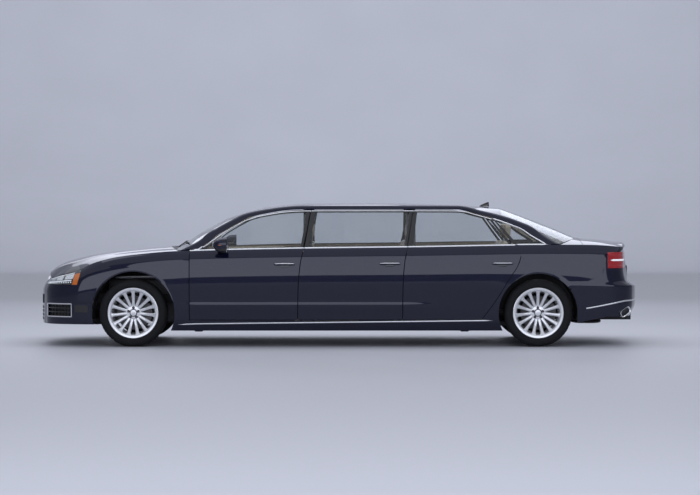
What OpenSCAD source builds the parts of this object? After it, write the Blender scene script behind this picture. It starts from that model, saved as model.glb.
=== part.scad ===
// Six-door stretch saloon: +Z up, front towards -X, origin on the ground under the middle.

/* [Body] */
// Length over the bumpers
body_len = 6360; // [6000:10:6700]
// Width over the door skins
body_w = 1950; // [1860:10:2040]
// Height of the roof's crown
roof_z = 1497; // [1470:1:1540]
// Height of the belt line at the middle of the car
belt_z = 1040; // [1010:5:1060]
// Height of the sills' lower edge
sill_z = 167; // [150:1:185]
// Height of the sills' upper edge, where the doors start
sill_top_z = 276; // [260:1:290]
// Depth of a door below the belt
wall_t = 90; // [70:1:100]
// Depth of the window frames, roof and lids
frame_t = 30; // [24:1:34]
// Depth of the wings, quarter panels and bumpers
skin_t = 40; // [30:1:45]
// Thickness of the glass
glass_t = 6; // [4:0.5:8]
// Width of the pillars and roof-side rails
cant_w = 40; // [34:1:46]

/* [Gaps] */
// Gap at the shut lines of doors and lids
shut_gap = 6; // [5.5:0.5:8]
// Gap over the doors' frames, which swing back as they open
head_gap = 11; // [10:0.5:14]
// Set-back of a door's rear edge on its inner side
shut_bevel = 12; // [10:0.5:16]
// Gap where a fixed piece seats on another
seat_gap = 0.3; // [0.2:0.05:0.5]

/* [Wheels] */
// Front bumper to front axle
front_overhang = 1038; // [1000:2:1080]
// Front axle to rear axle
wheelbase = 4218; // [4100:2:4300]
// Distance between the middles of opposite tyres
track = 1640; // [1600:2:1650]
// Diameter of the tyres
tyre_d = 704; // [690:2:710]
// Width of the tyres
tyre_w = 255; // [235:5:260]
// Diameter of the rims at the tyre's bead
rim_d = 483; // [470:1:490]
// Spokes of each wheel
spoke_n = 15; // [10:1:20]
// Radius of the front wheel arches
front_arch_r = 432; // [430:1:440]
// Radius of the rear wheel arches
rear_arch_r = 412; // [400:1:420]
// Steering axis to the middle of the tyre
kingpin_in = 100; // [90:1:105]
// Diameter of the wheel spindles
spindle_d = 60; // [50:1:64]

/* [Inside] */
// Width of one front or middle seat
seat_w = 520; // [480:5:560]
// Height of the seat cushions' top
seat_z = 520; // [490:5:540]
// Thickness of the floor
floor_t = 24; // [18:1:30]
// Diameter of the steering wheel
steer_d = 380; // [350:5:400]

/* [Hidden] */
$fn = 48;

// Colours as the photo shows them
navy = [0.03, 0.04, 0.12];
chrome = [0.8, 0.8, 0.82];
black = [0.04, 0.04, 0.045];
cream = [0.76, 0.69, 0.56];
tint = [0.3, 0.34, 0.36, 0.5];
steel = [0.5, 0.5, 0.52];
red = [0.6, 0.02, 0.02];

// Half sizes and axle places
hl = body_len / 2;
hw = body_w / 2;
front_x = -hl + front_overhang;
rear_x = front_x + wheelbase;
axle_z = tyre_d / 2;
overrun = 2;

// Outline of the body

// Plan: [share of the half length, share of the half width]
plan_shares = [
  [-1, 0.58], [-0.985, 0.71], [-0.955, 0.81], [-0.91, 0.88], [-0.84, 0.935], [-0.67, 0.98],
  [-0.48, 0.995], [0, 1], [0.5, 0.998], [0.66, 0.985], [0.82, 0.952], [0.92, 0.91], [0.962, 0.865],
  [0.986, 0.79], [1, 0.642]
];
// Reach of the ends: [share of the belt height, share of the half length]
nose_reach_shares = [[0.3, 1], [0.55, 1], [0.66, 0.988], [0.74, 0.974], [0.8, 0.96]];
tail_reach_shares = [[0.3, 0.985], [0.42, 1], [0.6, 1], [0.66, 0.974], [0.78, 0.966], [1, 0.966]];
// Top line of the sides: [share of the half length, share of the belt height]
waist_shares = [
  [-1, 0.665], [-0.968, 0.685], [-0.93, 0.716], [-0.865, 0.757], [-0.843, 0.784], [-0.818, 0.822],
  [-0.772, 0.868], [-0.73, 0.897], [-0.64, 0.932], [-0.563, 0.953], [-0.48, 0.965], [-0.11, 0.99],
  [0.23, 1.002], [0.68, 1.022], [0.82, 1.02], [0.94, 1], [1, 0.965]
];
// Side section: [share of the way from sill to top line, share of the half width]
side_shares = [[0, 0.93], [0.12, 0.966], [0.4, 0.992], [0.6, 1], [0.8, 0.993], [0.9, 0.978], [0.95, 0.96],
  [1, 0.925]];
// Inward lean of the side windows, for each unit of height
lean_share = 0.6;
top_share = 0.925;

function reach(x, z) = lookup(z / belt_z, x < 0 ? nose_reach_shares : tail_reach_shares);
function half_w(x, z) = hw * lookup(x / hl / reach(x, z), plan_shares);
function waist(x) = belt_z * lookup(x / hl, waist_shares);
function side_y(x, z) =
  z <= waist(x)
    ? half_w(x, z) * lookup((z - sill_z) / (waist(x) - sill_z), side_shares)
    : half_w(x, z) * top_share - lean_share * (z - waist(x));
function side_z(x, t) = sill_z + t * (waist(x) - sill_z);
function left(x, z, inset = 0) = [x, inset - side_y(x, z), z];
function cab_x(share) = front_x + share * wheelbase;
function mix(a, b, t) = a + (b - a) * t;
function arch_x(axle, r, z, side) = axle + side * sqrt(max(0, r * r - (z - axle_z) * (z - axle_z)));

// One closed sheet between two grids of points; cells listed in open are left out
module sheet(outer, inner, open = []) {
  nu = len(outer);
  nv = len(outer[0]);
  base = nu * nv;
  points = concat([for (row = outer) for (p = row) p], [for (row = inner) for (p = row) p]);
  function at(i, j) = i * nv + j;
  function kept(i, j) =
    i >= 0 && j >= 0 && i < nu - 1 && j < nv - 1 && len([for (c = open) if (c == [i, j]) c]) == 0;
  function quad(a, b, c, d) = [[a, b, c], [a, c, d]];
  faces = [
    for (i = [0:nu - 2]) for (j = [0:nv - 2]) if (kept(i, j))
      let (a = at(i, j), b = at(i, j + 1), c = at(i + 1, j + 1), d = at(i + 1, j))
        each concat(
          quad(a, b, c, d),
          [[base + a, base + c, base + b], [base + a, base + d, base + c]],
          kept(i, j - 1) ? [] : quad(a, d, base + d, base + a),
          kept(i, j + 1) ? [] : quad(c, b, base + b, base + c),
          kept(i - 1, j) ? [] : quad(b, a, base + a, base + b),
          kept(i + 1, j) ? [] : quad(d, c, base + c, base + d)
        )
  ];
  polyhedron(points = points, faces = faces);
}

module both_sides() {
  children();
  mirror([0, 1, 0]) children();
}

// Shut lines of the doors

// Front or rear edge of each door: [height share of the roof, share of the wheelbase]
door_1_front_shares = [[0.1, 0.139], [0.66, 0.139], [0.675, 0.172], [1, 0.172]];
door_2_front_shares = [[0.1, 0.406], [0.4, 0.4075], [0.58, 0.413], [0.69, 0.422], [0.955, 0.4395]];
door_3_front_shares = [[0.1, 0.665], [0.4, 0.666], [0.58, 0.67], [0.69, 0.678], [0.955, 0.695]];
door_3_rear_shares = [
  [0.18, 0.858], [0.33, 0.897], [0.477, 0.929], [0.575, 0.951], [0.65, 0.958], [0.71, 0.9385],
  [0.9, 0.8853], [1, 0.8573]
];
door_lines = [door_1_front_shares, door_2_front_shares, door_3_front_shares, door_3_rear_shares];
function line_x(k, z) = cab_x(lookup(z / roof_z, door_lines[k]));

// Roof-side rail: [x share of the half length, z share of the roof height,
//   x and z to its upper edge as shares of the rail width]
cant_shares = [
  [-0.461, 0, -4.5, 0], [-0.418, 0.74, -2.4, 0.55], [-0.374, 0.809, -2.1, 0.7], [-0.33, 0.862, -1.8, 0.8],
  [-0.295, 0.9, -1.4, 0.9], [-0.236, 0.928, -0.8, 1], [-0.173, 0.9486, 0, 1], [-0.114, 0.955, 0, 1],
  [0.126, 0.956, 0, 1], [0.386, 0.955, 0, 1], [0.466, 0.92, 0.4, 1], [0.5186, 0.888, 1.2, 1],
  [0.571, 0.848, 1.8, 0.9], [0.621, 0.792, 2.3, 0.7], [0.685, 0, 3, 0]
];
cant_last = len(cant_shares) - 1;
pane_drop = glass_t * 4 / 3;
function cant_foot(k) = k == 0 || k == cant_last;
function cant_x(k, up) = hl * cant_shares[k][0] + up * cant_w * cant_shares[k][2];
// A foot stands on the wing or quarter panel, clear of the front door's corner
function foot_rise(k, up) = seat_gap + (up == 1 ? pane_drop : k == 0 ? 2 * shut_gap : 0);
function cant_z(k, up) =
  cant_foot(k) ? waist(cant_x(k, up)) + foot_rise(k, up) : roof_z * cant_shares[k][1] + up * cant_w * cant_shares[k][3];
rail_line = [for (k = [0:cant_last]) [cant_x(k, 0), cant_z(k, 0)]];
rail_rear_first = 9;
rail_back = [for (k = [cant_last:-1:rail_rear_first]) [cant_z(k, 0), cant_x(k, 0)]];
function rail(x) = lookup(x, rail_line);
function cant_top(k) = left(cant_x(k, 1), cant_z(k, 1));

// Doors

// Rows of a door below the belt, as shares of the side section
door_row_shares = [0.4, 0.6, 0.8, 0.9, 0.95, 1];
// Rows of a window frame, from the belt to the top: the window lies between the middle two
frame_row_shares = [0.05, 0.9, 1];
// Columns of a door: the window lies between the second and the last but one
door_col_shares = [0, 0.09, 0.3, 0.5, 0.7, 0.93, 1];
door_rows = 1 + len(door_row_shares) + len(frame_row_shares);
sash_row = len(door_row_shares) + 1;
least_frame_h = 8;

function door_x(k, u, z) =
  mix(line_x(k, z) + shut_gap / 2, line_x(k + 1, z) - shut_gap / 2, u);
function frame_top(x) = max(rail(x) - head_gap, waist(x) + least_frame_h);
// Height on the frame at a share of its way up, with the edges' slant taken in by a few passes
function frame_z(k, u, v, pass = 4) =
  let (x = pass == 0 ? door_x(k, u, belt_z) : door_x(k, u, frame_z(k, u, v, pass - 1)))
    mix(waist(x), frame_top(x), v);
function door_z(k, u, row) =
  row == 0 ? sill_top_z + shut_gap
  : row < sash_row ? side_z(door_x(k, u, belt_z), door_row_shares[row - 1])
  : frame_z(k, u, frame_row_shares[row - sash_row]);
function door_depth(row) = row < sash_row - 1 ? wall_t : frame_t;
function door_point(k, u, row, inset, back = 0) =
  let (z = door_z(k, u, row), x = door_x(k, u, z)) left(x - back, z, inset);
function door_outer(k) = [for (u = door_col_shares) [for (r = [0:door_rows - 1]) door_point(k, u, r, 0)]];
function door_inner(k) = [
  for (u = door_col_shares)
    [for (r = [0:door_rows - 1]) door_point(k, u, r, door_depth(r), u == 1 ? shut_bevel : 0)]
];
window_cells = [for (i = [1:len(door_col_shares) - 3]) [i, sash_row]];

// Handle: a bar on two feet
handle_len = 218;
handle_h = 26;
handle_out = 34;
handle_foot = 30;
// Handle's middle: [share of the door's way back, share of the side section]
handle_shares = [[0.86, 0.83], [0.862, 0.81], [0.86, 0.8]];
module handle(k) {
  z = side_z(line_x(k, belt_z), handle_shares[k][1]);
  x = door_x(k, handle_shares[k][0], z) - handle_len / 2;
  y = side_y(x + handle_len, z - handle_h / 2) + seat_gap;
  bar_t = handle_out / 3;
  translate([x, -y - handle_out, z - handle_h / 2]) {
    cube([handle_len, bar_t, handle_h]);
    for (f = [0, handle_len - handle_foot])
      translate([f, 0, 0]) cube([handle_foot, handle_out, handle_h]);
  }
}

// Mirror: a rounded shell on a short foot
mirror_len = 140;
mirror_out = 200;
mirror_h = 165;
mirror_x_share = 0.199;
mirror_foot_w = 70;
mirror_r = 42;
mirror_clear = 20;
module mirror_shell() {
  x = cab_x(mirror_x_share);
  z = waist(x) - mirror_h / 5;
  y = side_y(x + 2 * mirror_foot_w, z) + seat_gap;
  near_r = mirror_h / 2;
  far_r = near_r - mirror_r / 2;
  translate([x, -y, z]) {
    translate([mirror_foot_w / 2, -mirror_foot_w, 0]) cube([mirror_foot_w, mirror_foot_w, frame_t]);
    hull()
      for (m = [[mirror_clear + near_r, near_r], [mirror_out - far_r, far_r]])
        translate([0, -m[0], near_r])
          rotate([0, 90, 0]) {
            translate([0, 0, mirror_len / 2]) cylinder(h = mirror_len / 2, r = m[1], $fn = 24);
            cylinder(h = mirror_len / 2, r = mirror_h / 4, $fn = 24);
          }
  }
}

module door(k) {
  color(navy) {
    sheet(door_outer(k), door_inner(k), window_cells);
    handle(k);
    if (k == 0) mirror_shell();
  }
}

// Pane that fills a door's window, seated in the middle of the frame's depth
pane_in_share = 0.4;
module door_window(k) {
  cols = [for (i = [1:len(door_col_shares) - 2]) door_col_shares[i]];
  last = len(cols) - 1;
  function pane(inset) = [
    for (i = [0:last]) [
      for (r = [0, 1])
        let (
          p = door_point(k, cols[i], sash_row + r, inset),
          dx = i == 0 ? seat_gap : i == last ? -seat_gap : 0
        ) p + [dx, 0, r == 0 ? seat_gap : -seat_gap]
    ]
  ];
  color(tint) sheet(pane(pane_in_share * frame_t), pane(pane_in_share * frame_t + glass_t));
}

// Side structure

module sill() {
  // Columns along the sill, between the arches, as shares of the wheelbase
  col_shares = [0.2, 0.5, 0.8];
  row_shares = [0, 0.35, 1];
  depth = 2 * wall_t;
  function col(z, inset) = concat(
    [left(arch_x(front_x, front_arch_r, z, 1), z, inset)],
    [for (s = col_shares) left(cab_x(s), z, inset)],
    [left(arch_x(rear_x, rear_arch_r, z, -1), z, inset)]
  );
  function grid(inset) =
    let (rows = [for (s = row_shares) col(mix(sill_z, sill_top_z, s), inset)])
      [for (i = [0:len(rows[0]) - 1]) [for (j = [0:len(rows) - 1]) rows[j][i]]];
  sheet(grid(0), grid(depth));
}
// Jacking pad under the sill's inner edge
pad_len = 90;
pad_w = 60;
pad_h = 16;
pad_x_shares = [0.16, 0.82];
function sill_in_y() = side_y(arch_x(front_x, front_arch_r, sill_z, 1), sill_z) - 2 * wall_t;
module jack_pad(share) {
  translate([cab_x(share) - pad_len / 2, -sill_in_y() - pad_w - pad_w / 2, sill_z - pad_h - seat_gap])
    cube([pad_len, pad_w, pad_h]);
}
module sills() {
  color(navy)
    both_sides() {
      sill();
      for (s = pad_x_shares) jack_pad(s);
    }
}

// Posts inside the front edges of the doors, with the hinges that carry them
post_w = 96;
post_t = 45;
hinge_h = 54;
hinge_len = 90;
// Heights of the hinges, as shares of the side section
hinge_shares = [0.35, 0.75];
post_in_share = 0.95;
module post(k) {
  x = line_x(k, k == 0 ? belt_z / 2 : belt_z);
  foot_y = side_y(x, side_z(x, post_in_share)) - wall_t - shut_gap;
  low = sill_top_z + seat_gap;
  slant = k == 0 ? post_w / 2 : (line_x(k, roof_z) - x) / 2;
  start = x - post_w / 2 + slant;
  head_z = k == 0 ? waist(x) : min(rail(start), rail(start + post_w)) - seat_gap;
  head_y = k == 0 ? foot_y : side_y(x, head_z) - frame_t - shut_gap;
  lower = [[foot_y, low], [foot_y, waist(x) - shut_gap]];
  upper = [[head_y, head_z], [head_y - post_t, head_z]];
  back = [[foot_y - post_t, waist(x) - shut_gap], [foot_y - post_t, low]];
  translate([start, 0, 0])
    rotate([90, 0, 90])
      mirror([1, 0, 0]) linear_extrude(height = post_w) polygon(concat(lower, upper, back));
  for (h = hinge_shares) hinge(k, side_z(x, h), foot_y);
}
// Hinge between a post and the inner side of a door's front edge
module hinge(k, z, foot_y) {
  x = line_x(k, z) + shut_gap;
  skin_y = min(side_y(x, z - hinge_h / 2), side_y(x, z + hinge_h / 2));
  out_y = skin_y - wall_t - 2 * seat_gap;
  translate([x, -out_y, z - hinge_h / 2]) cube([hinge_len, out_y - foot_y + overrun, hinge_h]);
}
module pillars() {
  color(black) both_sides() for (k = [0:2]) post(k);
}

// Rail from the foot of the windscreen over the doors to the rear deck
module cant_rail() {
  rail_t = cant_w;
  outer = [for (k = [0:cant_last]) [left(cant_x(k, 0), cant_z(k, 0)), cant_top(k)]];
  inner = [
    for (k = [0:cant_last])
      [left(cant_x(k, 0), cant_z(k, 0), rail_t), cant_top(k) - [0, 0, cant_foot(k) ? pane_drop : frame_t]]
  ];
  sheet(outer, inner);
}
module cant_rails() {
  color(navy) both_sides() cant_rail();
}

// Panel between a wheel arch and an outer edge: rows of [arch angle, outer x, outer z]
lip_t = 12;
band_shares = [0, 0.12, 0.4, 0.6, 0.77, 1];
lip_share = 0.77;
function band_depth(s) = s >= lip_share ? lip_t : s == 0 ? skin_t / 2 : skin_t;
module arch_panel(axle, r, rows) {
  function grid(deep) = [
    for (row = rows)
      let (ax = axle + r * cos(row[0]), az = axle_z + r * sin(row[0])) [
        for (s = band_shares) left(mix(ax, row[1], s), mix(az, row[2], s), deep * band_depth(s))
      ]
  ];
  sheet(grid(0), grid(1));
}

// Seam between quarter panel and rear bumper: [height share of the belt, x share of the half length]
tail_seam_shares = [[0.585, 0.762], [0.625, 0.792], [0.695, 0.842], [0.785, 0.889]];
lamp_x_share = 0.889;
lamp_top_share = 0.947;
tail_tip_share = 0.945;
module quarter_panel() {
  low = sill_top_z + seat_gap;
  low_a = 180 - asin((low - axle_z) / rear_arch_r);
  // Rows along the door's edge: [arch angle, height share of the roof]
  door_shares = [[165, 0.305], [146, 0.4], [128, 0.505], [112, 0.6], [103, 0.65]];
  // Arch angles of the rows at the window's foot and round the lamp
  peak_a = 99;
  lamp_a = [49, 44, 43];
  // Rows along the deck: [arch angle, x share of the half length]
  deck_shares = [[88, 0.648], [74, 0.73], [60, 0.82]];
  back = lamp_x_share * hl;
  last_a = asin((tail_seam_shares[0][0] * belt_z + seat_gap - axle_z) / rear_arch_r);
  rows = concat(
    [[low_a, line_x(3, low) + shut_gap, low]],
    [for (d = door_shares) [d[0], line_x(3, d[1] * roof_z) + shut_gap, d[1] * roof_z]],
    [let (x = line_x(3, belt_z) + 2 * shut_gap) [peak_a, x, waist(x)]],
    [for (d = deck_shares) [d[0], d[1] * hl, waist(d[1] * hl)]],
    [[lamp_a[0], back, waist(back)], [lamp_a[1], back, lamp_top_share * belt_z]],
    [for (i = [3:-1:0]) [mix(last_a, lamp_a[2], i / 4), hl * tail_seam_shares[i][1] - seat_gap,
      belt_z * tail_seam_shares[i][0] + seat_gap]]
  );
  arch_panel(rear_x, rear_arch_r, rows);
}
// Strip of the flank over the tail lamp
module tail_strip() {
  col_shares = [lamp_x_share, 0.925, tail_tip_share];
  low = lamp_top_share * belt_z;
  function grid(deep) = [
    for (i = [0:2])
      let (x = col_shares[i] * hl + (i == 0 ? seat_gap : 0))
        [left(x, low, deep * lip_t), left(x, waist(x), deep * lip_t)]
  ];
  sheet(grid(0), grid(1));
}
module quarter_panels() {
  color(navy)
    both_sides() {
      quarter_panel();
      tail_strip();
    }
}

// Front wings
nose_seam_share = -0.862;
lamp_base_share = 0.618;
corner_share = 0.438;
wing_top_share = -0.845;
// Arch angles of the rows at the lamp's foot and at the door's upper corner
seam_a = [157, 149];
wing_back_a = 42;
module wing() {
  low = sill_top_z + seat_gap;
  low_a = asin((low - axle_z) / front_arch_r);
  seam = nose_seam_share * hl;
  back = line_x(0, belt_z / 2) - shut_gap / 2;
  // Rows along the bonnet's edge: [arch angle, x share of the half length]
  top_row_shares = [[139, wing_top_share], [127, -0.818], [114, -0.772], [101, -0.73], [86, -0.66], [70, -0.6],
    [55, -0.54]];
  // Rows down the door's edge: [arch angle, height share of the belt]
  door_shares = [[27, 0.68], [9, 0.46]];
  corner_z = corner_share * belt_z;
  rows = concat(
    [[180 - asin((corner_z - axle_z) / front_arch_r), seam, corner_z]],
    [[seam_a[0], seam, (corner_share + lamp_base_share) / 2 * belt_z], [seam_a[1], seam, lamp_base_share * belt_z]],
    [for (d = top_row_shares) [d[0], d[1] * hl, waist(d[1] * hl)]],
    [[wing_back_a, back, waist(back)]],
    [for (d = door_shares) [d[0], back, d[1] * belt_z]],
    [[low_a, back, low]]
  );
  arch_panel(front_x, front_arch_r, rows);
}
module wings() {
  color(navy) both_sides() wing();
}

// Top surfaces

// Columns across a top panel, as shares of its half width
cross_shares = [-1, -0.85, -0.55, 0, 0.55, 0.85, 1];
// Crowned row from an edge point on the left to its mirror on the right
function crown_row(edge, mid_x, mid_z, power) = [
  for (s = cross_shares)
    [mix(mid_x, edge[0], s * s), -edge[1] * s, mix(mid_z, edge[2], pow(abs(s), power))]
];
function drop(rows, t) = [for (row = rows) [for (p = row) p - [0, 0, t]]];
// Edge point of a top panel, drawn in from the rail by a gap
function drawn_in(p, gap) = [p[0], p[1] + gap, p[2]];
crown_power = 2.2;

// Middle line of the roof over rail points 5 to 11: [x share of the half length, z share of the roof]
roof_first = 5;
roof_mid_shares = [[-0.251, 0.97], [-0.173, 0.988], [-0.114, 0.997], [0.126, 1], [0.386, 0.988],
  [0.474, 0.975], [0.541, 0.963]];
fin_len = 110;
fin_h = 46;
fin_w = 26;
fin_tip_share = 0.8;
module roof_fin() {
  x = hl * roof_mid_shares[5][0];
  z = roof_z * roof_mid_shares[5][1] + seat_gap;
  translate([x, fin_w / 2, z])
    rotate([90, 0, 0])
      linear_extrude(height = fin_w) polygon([[0, 0], [fin_len, 0], [fin_len, fin_h], [fin_len * fin_tip_share, fin_h]]);
}
module roof() {
  n = len(roof_mid_shares);
  rows = [
    for (k = [0:n - 1])
      let (end = k == 0 ? seat_gap : k == n - 1 ? -seat_gap : 0)
        [for (p = crown_row(drawn_in(cant_top(roof_first + k), seat_gap), hl * roof_mid_shares[k][0],
          roof_z * roof_mid_shares[k][1], crown_power)) p + [end, 0, 0]]
  ];
  color(navy) {
    sheet(rows, drop(rows, frame_t));
    roof_fin();
  }
}

// Middle line of the windscreen over rail points 0 to 5, and of the rear window over points 11 to 14
screen_mid_shares = [[-0.55, 0.668], [-0.4855, 0.7615], [-0.4245, 0.8377], [-0.37, 0.895], [-0.316, 0.931],
  [-0.251, 0.97]];
rear_first = 11;
rear_mid_shares = [[0.541, 0.963], [0.613, 0.91], [0.7, 0.838], [0.797, 0.753]];
module pane_over(first, mids) {
  rows = [
    for (k = [0:len(mids) - 1])
      crown_row(drawn_in(cant_top(first + k), seat_gap), hl * mids[k][0], roof_z * mids[k][1], crown_power)
  ];
  sheet(rows, drop(rows, pane_drop));
}
// Small fixed window behind the last door
quarter_row_shares = [0, 0.35, 0.7, 0.97];
quarter_col_shares = [0, 0.5, 1];
quarter_top_share = 0.885;
module quarter_window() {
  low = waist(line_x(3, belt_z)) + seat_gap + shut_gap;
  high = roof_z * quarter_top_share;
  function grid(inset) = [
    for (u = quarter_col_shares) [
      for (s = quarter_row_shares)
        let (
          z = mix(low, high, s),
          front = line_x(3, z) + shut_gap,
          back = lookup(z, rail_back) - seat_gap
        ) left(mix(front, back, u), z, inset)
    ]
  ];
  sheet(grid(pane_in_share * frame_t), grid(pane_in_share * frame_t + glass_t));
}
module fixed_glass() {
  color(tint) {
    pane_over(0, screen_mid_shares);
    pane_over(rear_first, rear_mid_shares);
    both_sides() quarter_window();
  }
}

// Bonnet: [x share of the half length, middle z share of the belt, sweep of the sides back, share,
//   draw-in of the sides, share of the usual]
bonnet_shares = [[-0.975, 0.735, 0, 4.5], [-0.945, 0.8, 0, 3], [-0.902, 0.853, 0, 1.8], [-0.858, 0.887, 0, 1.3],
  [-0.814, 0.915, 0, 1], [-0.73, 0.946, 0, 1], [-0.64, 0.973, 0.4, 1.2], [-0.565, 0.991, 1, 1.5]];
bonnet_sweep = 120;
bonnet_power = 2.6;
lid_in = lip_t + shut_gap;
bonnet_rows = [
  for (b = bonnet_shares)
    let (
      x = hl * b[0] + b[2] * bonnet_sweep,
      edge = [x, b[3] * lid_in - side_y(x, waist(x)), waist(x)]
    ) crown_row(edge, hl * b[0], belt_z * b[1], bonnet_power)
];
module bonnet() {
  color(navy) sheet(bonnet_rows, drop(bonnet_rows, frame_t));
}

// Boot lid over the deck: [x share of the half length, middle z share of the belt, draw-in of the sides, share]
boot_top_shares = [[0.802, 1.078, 1.7], [0.88, 1.06, 1], [0.935, 1.041, 1], [0.957, 1.033, 1]];
// Its lip and rear face: [x and z as above, half width share, edge drop share, edge set-in share]
boot_face_shares = [
  [0.965, 1.002, 0.68, 0.02, 0.007], [0.96, 0.966, 0.675, 0.008, 0.008], [0.961, 0.955, 0.605, 0, 0.008],
  [0.966, 0.86, 0.605, 0, 0.008], [0.972, 0.74, 0.605, 0, 0.008], [0.974, 0.612, 0.605, 0, 0.008]
];
boot_rows = concat(
  [
    for (b = boot_top_shares)
      let (x = hl * b[0])
        crown_row([x, b[2] * lid_in - side_y(x, waist(x)), waist(x)], x, belt_z * b[1], crown_power)
  ],
  [
    for (b = boot_face_shares)
      crown_row([hl * (b[0] - b[4]), -hw * b[2], belt_z * (b[1] - b[3])], hl * b[0], belt_z * b[1], crown_power)
  ]
);
module boot_lid() {
  inner = [
    for (i = [0:len(boot_rows) - 1])
      let (deep = i < len(boot_top_shares) ? [0, 0, -frame_t] : [-frame_t, 0, 0])
        [for (p = boot_rows[i]) p + deep]
  ];
  color(navy) sheet(boot_rows, inner);
}

// Bumpers

// Columns from the corner of the wheel arch to the tip: shares of the half length
nose_col_shares = [0.885, 0.93, 0.96, 0.985, 1];
tail_col_shares = [0.9, 0.93, 0.96, 0.985, 1];
// Rows: shares of the belt height
nose_row_shares = [0.222, 0.298, 0.427, 0.438, 0.52, 0.618];
tail_row_shares = [0.3, 0.4, 0.5, 0.585, 0.6, 0.625, 0.695, 0.785];
inlet_row = 1;
notch_row = 3;
ledge_row = 4;
// Where the ends start to be pushed in along X, and over what length, as shares of the half length
wrap_start_share = 0.86;
wrap_blend_share = 0.08;
// Half width of the grille's opening
grille_half = 405;
// Push of a point inwards, full along X at the tips and none at the first column, none along Y at a cut end
function wrap_in(x, t, first, cut = false) =
  let (w = first ? 0 : min(1, max(0, (abs(x) / hl - wrap_start_share) / wrap_blend_share)))
    [-sign(x) * w * t, cut ? 0 : t, 0];
// Columns of [x, z] on the left flank, pushed in by t
function wrap_grid(cols, t, cut = false) =
  let (last = len(cols) - 1)
    [for (i = [0:last]) [for (p = cols[i]) left(p[0], p[1]) + wrap_in(p[0], t, i == 0, cut && i == last)]];
function mirrored(cols) = [for (col = cols) [for (p = col) [p[0], -p[1], p[2]]]];
function reversed(cols) = [for (i = [len(cols) - 1:-1:0]) cols[i]];

nose_heights = [for (s = nose_row_shares) s * belt_z - (s == corner_share ? seat_gap : 0)];
function nose_first_x(row) =
  nose_row_shares[row] < corner_share
    ? arch_x(front_x, front_arch_r, nose_heights[row], -1)
    : nose_seam_share * hl - seat_gap;
nose_cols = concat(
  [[for (row = [0:len(nose_heights) - 1]) [nose_first_x(row), nose_heights[row]]]],
  [for (c = nose_col_shares) [for (z = nose_heights) [-hl * c * reach(-hl, z), z]]]
);
nose_n = len(nose_cols) + 1;
module front_bumper() {
  function half(t) = concat(
    wrap_grid(nose_cols, t), [[for (z = nose_heights) [-hl * reach(-hl, z) + t, -grille_half, z]]]
  );
  function ring(t) = let (h = half(t)) concat(mirrored(h), reversed(h));
  // The grille's notch in the middle, and an intake at each corner
  notch = [for (j = [notch_row:len(nose_row_shares) - 2]) [nose_n - 1, j]];
  inlets = [for (i = [1:3]) each [[i, inlet_row], [2 * nose_n - 2 - i, inlet_row]]];
  color(navy) sheet(ring(0), ring(skin_t), concat(notch, inlets));
}

// Grille: slats across a frame, and a dark insert in each corner intake
slat_n = 7;
slat_h = 15;
slat_t = 26;
grille_lean = 12.5;
// Outline of the grille: [half width share of its opening, height share of the belt]
grille_shares = [[0.985, 0.438], [0.985, 0.637], [1.15, 0.645], [1.15, 0.652], [0.9, 0.668], [0.4, 0.685]];
grille_rim = 24;
insert_in = 14;
insert_t = 10;
module grille_face() {
  foot_z = corner_share * belt_z + slat_t * sin(grille_lean);
  pts = [for (g = grille_shares) [g[0] * grille_half, max(0, g[1] * belt_z - foot_z)]];
  outline = concat(pts, [for (i = [len(pts) - 1:-1:0]) [-pts[i][0], pts[i][1]]]);
  high = pts[len(pts) - 1][1];
  width = pts[0][0] - grille_rim;
  translate([slat_t / 2 - hl, 0, foot_z])
    rotate([0, grille_lean, 0])
      rotate([90, 0, 90]) {
        linear_extrude(height = slat_t)
          difference() {
            polygon(outline);
            translate([-width, grille_rim]) square([2 * width, high - 2 * grille_rim]);
          }
        for (i = [1:slat_n])
          translate([-width - overrun, i * high / (slat_n + 1) - slat_h / 2, 0])
            cube([2 * width + 2 * overrun, slat_h, slat_t / 2]);
      }
}
module intake_insert() {
  function trim(j) = j == 0 ? seat_gap : -seat_gap;
  function grid(t) = [
    for (i = [1:4]) [
      for (j = [0, 1])
        let (p = nose_cols[i][inlet_row + j])
          left(p[0] + (i == 1 ? -seat_gap : i == 4 ? seat_gap : 0), p[1] + trim(j)) + wrap_in(p[0], t, false)
    ]
  ];
  sheet(reversed(grid(insert_in)), reversed(grid(insert_in + insert_t)));
}
module grille() {
  color(chrome) grille_face();
  color(black) both_sides() intake_insert();
}

// Headlamps, between wing, bumper and bonnet
lamp_col_shares = [0.9, 0.93, 0.96, 0.985, 1];
lamp_row_shares = [0, 0.5, 1];
lamp_rise_share = 0.1;
module headlamp() {
  base = lamp_base_share * belt_z;
  low = base + seat_gap;
  wing_x = wing_top_share * hl;
  wing_rise = waist(wing_x) - base;
  edge_z = waist(wing_x) - shut_gap;
  function nominal(v) = (lamp_base_share + v * lamp_rise_share) * belt_z;
  // The first column follows the wing's straight front edge
  function edge_x(z) = mix(nose_seam_share * hl, wing_x, (z - base) / wing_rise) - seat_gap;
  function col_x(i, v) =
    i == 0 ? edge_x(mix(low, edge_z, v)) : -hl * lamp_col_shares[i - 1] * reach(-hl, nominal(v));
  function grid(t) = [
    for (i = [0:len(lamp_col_shares)]) [
      for (v = lamp_row_shares)
        let (
          x = col_x(i, v),
          z = mix(low, i == 0 ? edge_z : waist(x) - shut_gap, v),
          deep = v == 1 ? t * lip_t : t * skin_t
        ) left(x, z) + wrap_in(x, deep, i == 0, i == len(lamp_col_shares))
    ]
  ];
  sheet(reversed(grid(0)), reversed(grid(1)));
}
module headlamps() {
  color(chrome) both_sides() headlamp();
}

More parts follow.
